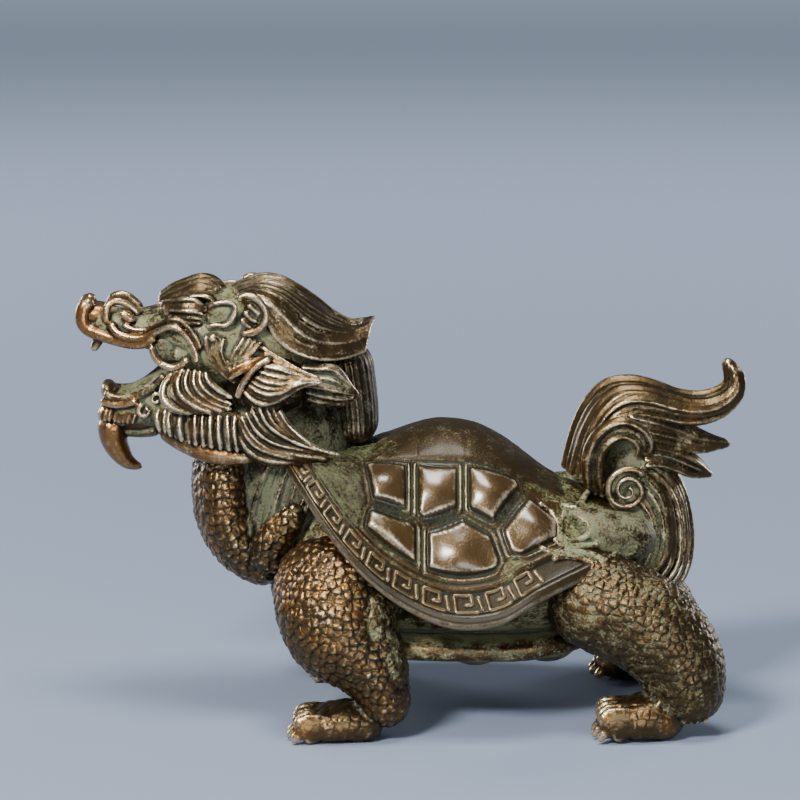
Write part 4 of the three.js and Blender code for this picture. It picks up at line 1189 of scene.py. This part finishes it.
def head_forms():
    """The skull and the jaw, with the rolls and the strands of the face."""
    rolls = [roll(path, radius, polish=polish, verdigris=green)
             for radius, polish, green, path in FACE_ROLLS]
    flank = [
        *rolls, *(curl(*winding, polish=0.2, verdigris=0.3) for winding in CHIN_CURLS),
        *strands(CROWN_GUIDES, 6, 0.6, verdigris=0.1), *strands(BROW_GUIDES, 5, 0.56, polish=0.4),
        *strands(CHIN_GUIDES, 8, 0.44, (0.8, 0.7), polish=0.8),
        *strands(EAR_GUIDES, 4, 0.55, verdigris=0.4), *strands(LOBE_GUIDES, 4, 0.55, verdigris=0.5),
        *(ball(middle, *halves, **looks) for middle, halves, looks in SWELLINGS),
    ]
    return [
        mass(SKULL, verdigris=0.8), mass(JAW, square=2.4, verdigris=0.9), mass(JAW_TIP, polish=0.8),
        mass(CHIN, polish=0.6), mass(CHIN_WEB, verdigris=1),
        mass(GOATEE, polish=1, flutes=8, groove=0.03),
        *both(flank),
    ]


def mane_forms():
    """The mane that falls over the back of the head."""
    flank = strands(MANE_GUIDES, 17, 0.47, (0.8, 0.7), verdigris=0.12)
    # The nape is painted in shade, as under the mane.
    return [mass(MANE), mass(NAPE, flutes=26, groove=0.06, verdigris=0.4, soot=0.75), *both(flank)]


def beard_forms():
    """The fin behind the cheek, the ruff below the jaw and the locks on the neck."""
    flank = [
        *strands(FIN_GUIDES, 7, 0.56, swell=0.5, polish=0.2),
        *strands(CHEEK_GUIDES, 7, 0.55, (0.7, 0.6), polish=0.3),
        *strands(RUFF_GUIDES, 12, 0.44, (0.9, 0.8)), *strands(LOCK_GUIDES, 9, 0.55, polish=0.2),
        # The inner strands and the backing are painted in shade, as under the locks and the beard.
        *strands(INNER_GUIDES, 5, 0.56, swell=0.4, verdigris=0.6, soot=0.35),
        mass(RUFF_BORDER, polish=0.8), mass(BEARD, verdigris=0.2),
        mass(HAIR_BACKING, verdigris=0.3, soot=0.7),
    ]
    return both(flank)


def tail_forms():
    """The flame, its curls, and the flap that it spreads over the shell."""
    flank = [
        *strands(PLUME_GUIDES, 7, 0.56, (0.9, 0.6), polish=0.2),
        *strands(LOOP_GUIDES, 3, 0.56, (0.8, 0.7)),
        *strands(TIP_GUIDES[0], 5, 0.5), *strands(TIP_GUIDES[1], 4, 0.5),
        *strands(BACK_GUIDES[:3], 6, 0.48, (0.8, 0.7)),
        # The lower strands of the back and the flap are painted darker.
        *strands(BACK_GUIDES[2:], 4, 0.4, (0.8, 0.7), verdigris=0.6, soot=0.2),
        curl(*TAIL_CURL, polish=0.2), mass(FLAP, verdigris=0.85, soot=0.42),
        *(roll(laid_on_flap(path), radius, verdigris=1) for radius, path in SWIRL_ROLLS),
    ]
    return [
        # The root is painted darker.
        mass(TAIL_ROOT, verdigris=0.7, soot=0.5), mass(PLUME), *(mass(tip) for tip in TAIL_TIPS),
        *both(flank),
    ]


# The shell

RIM_STEPS = 24  # samples of the rim between two rows of its table
STEEPENING = 1.4  # how late the dome starts to fall
BELL, BOWL = 0.6, 0.4  # shares of a bell-shaped and of a bowl-shaped fall in the dome's curve


def rim_table():
    """The rim all the way round: its bearing from the top, how far out it is, and its height."""
    left = np.array(RIM, float)
    right = left[1:-1][::-1] * [1, -1, 1]
    loop = np.vstack([left, right])
    ring = curve(np.vstack([loop[-2:], loop, loop[:3]]), (len(loop) + 4) * RIM_STEPS + 1)
    ring = ring[2 * RIM_STEPS:-2 * RIM_STEPS]
    dx, dy = ring[:, 0] - SHELL_TOP[0], ring[:, 1] - SHELL_TOP[1]
    order = np.argsort(np.arctan2(dy, dx))
    return np.arctan2(dy, dx)[order], np.hypot(dx, dy)[order], ring[:, 2][order]


def shell_points(bearing, share, table):
    """Points on the dome, each at a share of the way from its top to the rim."""
    reach = np.interp(bearing, table[0], table[1], period=2 * math.pi)
    rim_z = np.interp(bearing, table[0], table[2], period=2 * math.pi)
    s = share ** STEEPENING
    fall = BELL * (3 * s * s - 2 * s ** 3) + BOWL * share * share
    x = SHELL_TOP[0] + np.cos(bearing) * reach * share
    y = SHELL_TOP[1] + np.sin(bearing) * reach * share
    return np.stack([x, y, SHELL_TOP[2] + (rim_z - SHELL_TOP[2]) * fall], axis=-1), reach


FAINT = 0.8  # a place on a seam within the keel counts as this far from it, so that the seam is faint


def seams(x, w):
    """How far each place lies from its scute's seam, whether it is on plain ground or the keel, and
    how far it lies from the scute's middle."""
    sites = [(sx, side * sw, hold, plain) for rows, plain in ((SCUTES, 0), (PLAIN_GROUND, 1))
             for sx, sw, hold in rows for side in ((1, -1) if sw else (1,))]
    sites = np.array(sites, float)
    power = [(x - sx) ** 2 + (w - sw) ** 2 - hold ** 2 for sx, sw, hold, _ in sites]
    power = np.stack(power)
    own = power.argmin(0)
    away = np.full(x.shape, 1e9)
    for k, (sx, sw, _, _) in enumerate(sites):
        apart = np.hypot(sites[own, 0] - sx, sites[own, 1] - sw)
        gap = (power[k] - power.min(0)) / (2 * np.maximum(apart, 1e-6))
        along_keel = (sites[own, 1] == 0) & (sites[k, 1] == 0) & (sites[own, 3] == sites[k, 3])
        gap = np.where(along_keel, gap + FAINT, gap)
        away = np.where(own == k, away, np.minimum(away, gap))
    to_site = np.hypot(x - sites[own, 0], w - sites[own, 1])
    return away, sites[own, 3] > 0, sites[own, 1] == 0, to_site


FRONT_DIP, BACK_DIP = 2.8, 2.6  # how much lower the dome is than its plain curve before and behind
FRONT_FROM, FRONT_RUN = 5, 12  # the x where the front dip begins, and over how far it grows
BACK_FROM, BACK_RUN = 8, 16
DIP_SIDE, DIP_FADE = 15, 10  # how far off the keel both end, and over how far they die away
DIP_EDGE = 0.3  # the share of the way out over which they die away before the field's edge


def rise(value):
    """A smooth step from 0 to 1."""
    s = np.clip(value, 0, 1)
    return s * s * (3 - 2 * s)


SHELL_ROUND = 560  # points of the shell's mesh round the figure
RIM_SHARE = 0.985  # where the dome ends and its rounded lip begins
FINER_FROM, INNER_ROWS, OUTER_ROWS = 0.8, 96, 46  # rows of points lie closer together near the rim
# Profiles: how far from a seam, or which share of the way out, and how far the skin is raised there.
SCUTE_BORDER = (
    (0, 0.16, 0.36, 0.56, 0.78, 1, 1.2, 2.2, 4.5),
    (-0.4, -0.2, 0.16, 0.14, -0.34, -0.2, 0.3, 0.34, 0.34),
)
KEEL_BORDER = ((0, 0.2, 0.45, 1, 1.6), (-0.3, -0.1, 0.06, 0.14, 0.16))
BAND_LINES = (
    (FIELD - 0.004, FIELD + 0.004, FIELD + 0.012, LEDGE - 0.006, LEDGE + 0.004, BAND - 0.004, BAND + 0.006,
     RIM_SHARE),
    (-0.2, 0.18, 0.18, 0.05, -0.35, -0.35, 0.12, 0.2),
)
PAD_RISE, PAD_REACH = 0.9, 3.2  # how high a scute's pad swells, and how far from its middle
PAD_EDGE = 0.8  # millimetres from the seam to where a pad starts, and from there to its full height
RIB_RISE, RIB_PITCH, RIB_WIDTH, RIB_LEAN = 0.16, 2.1, 0.2, 0.9  # the slanting ribs of the keel
RIBS_BEFORE, RIBS_BEHIND = -2, 13  # the keel has ribs before the one x and behind the other
HAIR_RISE, HAIR_PITCH, HAIR_END = 0.13, 0.8, 4  # the fine wavy lines on the ground before this x
FIELD_FADE = 0.6  # millimetres over which the relief dies away before the field's edge
LIP_RADIUS, LIP_LIFT, LIP_ROWS = 0.9, 0.15, 9
LIP_TURN = (40, 180)  # degrees of the lip's round, from the dome to its underside
UNDERSIDE = ((0.93, 2.4), (0.86, 3.6), (0.6, 6), (0.3, 10), (0, 14))  # share of the way out, and depth


def shell_relief(x, y, bearing, share, reach):
    """How far each place of the dome is raised, how far it lies from a seam, and whether it is on
    plain ground or on the keel."""
    away, plain, keel, to_site = seams(x, y + np.sign(y) * ROUND * y * y)
    to_field = (FIELD - share) * reach
    away = np.minimum(away, np.maximum(to_field, 0))
    pads = PAD_RISE * np.exp(-(to_site / PAD_REACH) ** 2) * np.clip((away - PAD_EDGE) / PAD_EDGE, 0, 1)
    slant = (x + RIB_LEAN * np.abs(y)) % RIB_PITCH - 1
    ribbed = rise((x - RIBS_BEHIND) / 3) + rise((RIBS_BEFORE - x) / 3)
    ribs = RIB_RISE * np.exp(-(slant / RIB_WIDTH) ** 2) * ribbed
    wave = 0.5 * np.sin(9 * bearing) + 0.3 * np.sin(23 * bearing + share * 20)
    lines = np.abs(np.sin(math.pi * (to_field + wave) / HAIR_PITCH))
    hair = HAIR_RISE * lines * rise((HAIR_END - x) / HAIR_END)
    on_keel = np.interp(away, *KEEL_BORDER) + ribs
    on_scutes = np.interp(away, *SCUTE_BORDER) + pads
    raised = np.where(plain, hair, np.where(keel, on_keel, on_scutes))
    raised = raised * np.clip(to_field / FIELD_FADE, 0, 1)
    raised = raised + np.where(share > FIELD - 0.004, np.interp(share, *BAND_LINES), 0)
    dip = FRONT_DIP * rise((FRONT_FROM - x) / FRONT_RUN) + BACK_DIP * rise((x - BACK_FROM) / BACK_RUN)
    raised -= dip * rise((DIP_SIDE - np.abs(y)) / DIP_FADE) * rise((FIELD - share) / DIP_EDGE)
    return raised, away, plain, keel


def shell_edge(bearings, table):
    """The rows of points round the lip, and those that close the shell below."""
    ring, reach = shell_points(bearings, np.full_like(bearings, RIM_SHARE), table)
    centre = np.array(SHELL_TOP, float)
    outward = ring - centre
    outward[:, 2] = 0
    outward /= np.linalg.norm(outward, axis=1, keepdims=True)
    edge = centre + outward * reach[:, None]
    edge[:, 2] = shell_points(bearings, np.ones_like(bearings), table)[0][:, 2]
    lip = []
    for angle in np.radians(np.linspace(*LIP_TURN, LIP_ROWS)):
        height = LIP_RADIUS * (math.cos(angle) - 1) + LIP_LIFT
        lip.append(edge + outward * LIP_RADIUS * (math.sin(angle) - 1) + [0, 0, height])
    under = []
    for share, sunk in UNDERSIDE:
        base = shell_points(bearings, np.full_like(bearings, share), table)[0]
        under.append(base - [0, 0, sunk])
    return lip, under


def shell_mesh():
    """The dome, its scutes, the sunk band and the rounded rim, closed below."""
    table = rim_table()
    bearings = np.linspace(-math.pi, math.pi, SHELL_ROUND, endpoint=False)
    inner = np.linspace(0, FINER_FROM, INNER_ROWS)
    shares = np.concatenate([inner, np.linspace(FINER_FROM, RIM_SHARE, OUTER_ROWS)[1:]])
    bearing, share = np.meshgrid(bearings, shares)
    points, reach = shell_points(bearing, share, table)
    x, y = points[..., 0], points[..., 1]
    raised, away, plain, keel = shell_relief(x, y, bearing, share, reach)

    along = np.roll(points, -1, 1) - np.roll(points, 1, 1)
    out = np.gradient(points, axis=0)
    normal = np.cross(out, along)
    normal[0] = (0, 0, 1)
    normal /= np.linalg.norm(normal, axis=-1, keepdims=True)
    top = points + normal * raised[..., None]
    lip, under = shell_edge(bearings, table)
    rows = [*top, *lip, *under]
    count = len(bearings)

    def look(on_top, on_lip, below):
        return np.concatenate([on_top.ravel(), np.full(count * len(lip), on_lip),
                               np.full(count * len(under), below)])

    on_band = share > LEDGE
    pad = np.clip((away - 1) / 0.6, 0, 1) * 0.8
    polish = np.where(on_band, 0.15, np.where(plain, 0, np.where(keel, 0.05, pad)))
    green = np.where(plain, 0.85, np.where(keel, 0.35, np.where(away < 1, 0.25, 0)))
    green = np.where(on_band, 0.1, green)
    # Painted shade on the plain ground before the neck, as under the mane, and a darker tone painted on the
    # keel, the band and the lip.
    soot = np.where(plain, 0.62 * rise((-4 - x) / 4), np.where(keel, 0.4, 0))
    soot = np.where(on_band, 0.66, soot)
    looks = {
        "scaled": look(np.zeros_like(x), 0.0, 0.0), "polish": look(polish, 0.15, 0.0),
        "verdigris": look(green, 0.0, 0.4), "soot": look(soot, 0.6, 0.0),
    }

    k = np.arange(len(rows) - 1)[:, None] * count
    j = np.arange(count)[None]
    n = (j + 1) % count
    quads = np.stack([k + j, k + count + j, k + count + n, k + n], -1).reshape(-1, 4)
    mesh = bpy.data.meshes.new("shell")
    mesh.from_pydata(in_frame(np.vstack(rows)).tolist(), [], quads.tolist())
    for name, column in looks.items():
        mesh.attributes.new(name, "FLOAT", "POINT").data.foreach_set("value", column.astype(np.float32))
    work = bmesh.new()
    work.from_mesh(mesh)
    bmesh.ops.remove_doubles(work, verts=work.verts, dist=0.001 * MM)
    work.to_mesh(mesh)
    work.free()
    return mesh


FRET_PITCH = 5.2
FRET_END = 18.5  # the key fret stops here, where the scrolls of the tail cover the rim
FRET_SPREAD, FRET_HEIGHT = 0.86, 0.94  # shares of its pitch and of the band that a key takes up
FRET_PATH = [(0.42, 0.42), (-0.4, 0.42), (-0.4, -0.42), (0.2, -0.42), (0.2, 0.02), (-0.12, 0.02)]
FRET_POST = [(0.52, 0.42), (0.44, -0.42)]
STROKE_WIDTH, STROKE_DEPTH = 0.36, 0.34  # half a stroke's
AROUND_STEPS = 2001
SIDE_STEPS = 9  # points along each side of a key
ASIDE = 0.02  # how far aside the dome's slope is felt


def fret_forms():
    """Key-fret strokes along the sunk band, each laid on the dome."""
    table = rim_table()
    around = np.linspace(-math.pi, math.pi, AROUND_STEPS)
    middle_share = (LEDGE + BAND) / 2
    line = shell_points(around, np.full_like(around, middle_share), table)[0]
    run = np.concatenate([[0], np.cumsum(np.linalg.norm(np.diff(line, axis=0), axis=1))])
    units = round(run[-1] / FRET_PITCH)
    pitch = run[-1] / units
    made = []
    for unit in range(units):
        if np.interp((unit + 0.5) * pitch, run, line[:, 0]) > FRET_END:
            continue
        for path in (FRET_PATH, FRET_POST):
            corners = np.array(path)
            sides = [np.linspace(a, b, SIDE_STEPS)[:-1] for a, b in zip(corners, corners[1:])]
            dense = np.vstack([*sides, corners[-1:]])
            where = (unit + 0.5 + FRET_SPREAD * dense[:, 0]) * pitch
            bearing = np.interp(where, run, around)
            share = middle_share + dense[:, 1] * (BAND - LEDGE) * FRET_HEIGHT
            place = shell_points(bearing, share, table)[0]
            aside = shell_points(bearing + ASIDE, share, table)[0] - place
            outwards = shell_points(bearing, share + ASIDE, table)[0] - place
            normal = np.cross(outwards, aside)
            normal /= np.linalg.norm(normal, axis=1, keepdims=True)
            tangent = np.gradient(place, axis=0)
            across = np.cross(tangent, normal)
            across /= np.linalg.norm(across, axis=1, keepdims=True)
            place = place - normal * STROKE_DEPTH
            size = np.tile((STROKE_WIDTH, STROKE_DEPTH), (len(place), 1))
            made.append(form(np.column_stack([place, size]), across=across, sides=12, square=2.6,
                             polish=0.25, verdigris=0.35))
    return made


# The add-on

class TurtleSettings(bpy.types.PropertyGroup):
    """The sizes of the surface work."""

    voxel: bpy.props.FloatProperty(
        name="Body detail", description="Edge of the finest facet of the body and the legs",
        default=0.25 * MM, min=0.1 * MM, subtype="DISTANCE", unit="LENGTH", precision=5)
    fine_voxel: bpy.props.FloatProperty(
        name="Carving detail", description="Edge of the finest facet of the head, the mane and the tail",
        default=0.2 * MM, min=0.1 * MM, subtype="DISTANCE", unit="LENGTH", precision=5)
    scale_size: bpy.props.FloatProperty(
        name="Scale size", description="Distance between the scales on the legs and the chest",
        default=1.3 * MM, subtype="DISTANCE", unit="LENGTH", precision=5)
    scale_height: bpy.props.FloatProperty(
        name="Scale height", description="How far the scales stand out",
        default=0.31 * MM, subtype="DISTANCE", unit="LENGTH", precision=5)
    floor_color: bpy.props.FloatVectorProperty(
        name="Floor", description="Colour of the floor and the backdrop",
        default=(0.155, 0.187, 0.255), size=3, subtype="COLOR", min=0, max=1)


class TURTLE_OT_body(bpy.types.Operator):
    """Makes the trunk, the neck, the legs and the feet"""

    bl_idname = "turtle.body"
    bl_label = "Body and legs"

    def execute(self, context):
        settings = context.scene.turtle
        finish = bronze_material("scaled_bronze", scale_size=settings.scale_size, Cover=0.0, Wear=0.02)
        scales = {"Scale Size": settings.scale_size, "Scale Height": settings.scale_height}
        for name, forms in (("turtle_body", body_forms()), ("turtle_legs", leg_forms())):
            placed(cast(name, forms, finish, settings.voxel, **scales))
        return {"FINISHED"}


class TURTLE_OT_shell(bpy.types.Operator):
    """Makes the shell with its scutes, and the key fret round its rim"""

    bl_idname = "turtle.shell"
    bl_label = "Shell"

    def execute(self, context):
        finish = bronze_material("shell_bronze", **SHELL_FINISH)
        pattern = linked("shell_pattern", shell_mesh())
        shell = linked("turtle_shell", pattern.data.copy())
        with_nodes(shell, group("Chased surface", chased_surface_tree),
                   {"Forms": pattern, "Finish": finish, "Softening": 1, "Grain": 0.02 * MM})
        placed(thinned(settled(shell)))
        rim = bronze_material("rim_bronze", **RIM_FINISH)
        fret = swept("rim_fret", fret_forms(), 0.3 * MM)
        pattern.data = fret.data.copy()
        with_nodes(fret, group("Chased surface", chased_surface_tree),
                   {"Forms": pattern, "Finish": rim, "Softening": 0, "Grain": 0.02 * MM})
        placed(settled(fret))
        dropped(pattern)
        return {"FINISHED"}


class TURTLE_OT_head(bpy.types.Operator):
    """Makes the dragon's face, with its open jaws"""

    bl_idname = "turtle.head"
    bl_label = "Head"

    def execute(self, context):
        finish = bronze_material("face_bronze", Cover=0.02, Wear=0.1)
        placed(cast("dragon_head", head_forms(), finish, context.scene.turtle.fine_voxel, Softening=1))
        return {"FINISHED"}


class TURTLE_OT_hair(bpy.types.Operator):
    """Makes the mane, the locks and the beard"""

    bl_idname = "turtle.hair"
    bl_label = "Mane and beard"

    def execute(self, context):
        # The hair's ridges get more painted highlight and rubbing, in a lighter colour.
        finish = bronze_material("hair_bronze", Cover=-0.02, Wear=0.32, Worn=(0.84, 0.7, 0.47, 1))
        for name, forms in (("dragon_mane", mane_forms()), ("dragon_beard", beard_forms())):
            placed(cast(name, forms, finish, context.scene.turtle.fine_voxel, Softening=1))
        return {"FINISHED"}


class TURTLE_OT_tail(bpy.types.Operator):
    """Makes the flame-shaped tail"""

    bl_idname = "turtle.tail"
    bl_label = "Tail"

    def execute(self, context):
        finish = bronze_material("tail_bronze", Cover=0.08, Wear=0.08)
        placed(cast("turtle_tail", tail_forms(), finish, context.scene.turtle.fine_voxel, Softening=1))
        return {"FINISHED"}


class TURTLE_OT_stage(bpy.types.Operator):
    """Makes the floor, the backdrop, the lights and the camera"""

    bl_idname = "turtle.stage"
    bl_label = "Stage"

    def execute(self, context):
        stage(context.scene.turtle.floor_color)
        return {"FINISHED"}


STAGE_AIM = (0, 0, 0.04)
NARROW = math.radians(84)  # a spread that keeps the backdrop's lights off the figure
# Each light: its place, its aim, its size, its watts, its colour and its spread.
LIGHTS = {
    "key": ((-0.3, -0.5, 0.5), STAGE_AIM, (0.17, 0.13), 12, (1, 0.98, 0.95), math.pi),
    "top": ((0, -0.12, 0.7), STAGE_AIM, (0.25, 0.2), 6, (0.97, 0.99, 1), math.pi),
    "fill": ((0.12, -0.6, 0.1), STAGE_AIM, (0.3, 0.2), 2.2, (0.9, 0.95, 1), math.pi),
    "left edge": ((-0.5, 0.42, 0.16), STAGE_AIM, (0.25, 0.2), 2.4, (0.97, 0.98, 1), math.pi),
    "right edge": ((0.55, 0.4, 0.16), STAGE_AIM, (0.25, 0.2), 2.4, (0.97, 0.98, 1), math.pi),
    "wash": ((0, 0.64, 0.66), (0, 0.64, 0), (2.4, 0.3), 6, (0.93, 0.97, 1), NARROW),
    "haze": ((0, 1.75, 1.2), (0, 1.75, 0), (5, 1), 30, (0.93, 0.97, 1), NARROW),
}
FLOOR_HALF, FLOOR_ROUGHNESS = 4.0, 0.7  # half its width in metres, and how rough it is
SKY_COLOR, SKY_STRENGTH = (0.62, 0.68, 0.78, 1), 0.21
SENSOR, LENS = 36, 168.75  # millimetres
NEAREST_SEEN = 0.01  # metres
CAMERA_TARGET = (-1.76, 0, 51)  # in the drawing
CAMERA_TILT = math.radians(11)
CAMERA_AWAY = 0.6  # metres


def softbox(name, place, aim, size, watts, colour, spread):
    """An oblong light, turned to its aim."""
    data = bpy.data.lights.new(name, "AREA")
    data.shape = "RECTANGLE"
    data.size, data.size_y = size
    data.energy = watts
    data.color = colour
    data.spread = spread
    light = linked(name, data)
    light.location = place
    light.rotation_euler = (Vector(aim) - Vector(place)).to_track_quat("-Z", "Y").to_euler()


def stage(floor_color):
    """The floor, which runs far back as the backdrop, the lights and the camera."""
    mesh = bpy.data.meshes.new("floor")
    corners = [(x * FLOOR_HALF, y * FLOOR_HALF, 0) for x, y in ((-1, -1), (1, -1), (1, 1), (-1, 1))]
    mesh.from_pydata(corners, [], [(0, 1, 2, 3)])
    floor = linked("floor", mesh)
    material = bpy.data.materials.new("floor")
    material.use_nodes = True
    shader = material.node_tree.nodes["Principled BSDF"]
    shader.inputs["Base Color"].default_value = (*floor_color, 1)
    shader.inputs["Roughness"].default_value = FLOOR_ROUGHNESS
    mesh.materials.append(material)

    for name, settings in LIGHTS.items():
        softbox(name, *settings)
    world = bpy.context.scene.world or bpy.data.worlds.new("studio")
    bpy.context.scene.world = world
    world.use_nodes = True
    background = world.node_tree.nodes["Background"]
    background.inputs["Color"].default_value = SKY_COLOR
    background.inputs["Strength"].default_value = SKY_STRENGTH

    data = bpy.data.cameras.new("camera")
    data.sensor_width = SENSOR
    data.lens = LENS
    data.clip_start = NEAREST_SEEN
    camera = linked("camera", data)
    away = Vector((0, -math.cos(CAMERA_TILT), math.sin(CAMERA_TILT)))
    camera.location = Vector(in_frame(CAMERA_TARGET)) + CAMERA_AWAY * away
    camera.rotation_euler = (-away).to_track_quat("-Z", "Y").to_euler()
    bpy.context.scene.camera = camera


class TURTLE_PT_panel(bpy.types.Panel):
    """Lists the steps and their sizes"""

    bl_label = "Dragon turtle"
    bl_idname = "TURTLE_PT_panel"
    bl_space_type = "VIEW_3D"
    bl_region_type = "UI"
    bl_category = "Dragon turtle"

    def draw(self, context):
        for name in ("voxel", "fine_voxel", "scale_size", "scale_height", "floor_color"):
            self.layout.prop(context.scene.turtle, name)
        for step in STEPS:
            self.layout.operator(step.bl_idname)


STEPS = (TURTLE_OT_body, TURTLE_OT_shell, TURTLE_OT_head, TURTLE_OT_hair, TURTLE_OT_tail, TURTLE_OT_stage)
CLASSES = (TurtleSettings, *STEPS, TURTLE_PT_panel)


def register():
    for made in CLASSES:
        bpy.utils.register_class(made)
    bpy.types.Scene.turtle = bpy.props.PointerProperty(type=TurtleSettings)


def unregister():
    del bpy.types.Scene.turtle
    for made in reversed(CLASSES):
        bpy.utils.unregister_class(made)


def main():
    """Makes everything in order."""
    register()
    bpy.ops.turtle.body()
    bpy.ops.turtle.shell()
    bpy.ops.turtle.head()
    bpy.ops.turtle.hair()
    bpy.ops.turtle.tail()
    bpy.ops.turtle.stage()


if __name__ == "__main__":
    main()
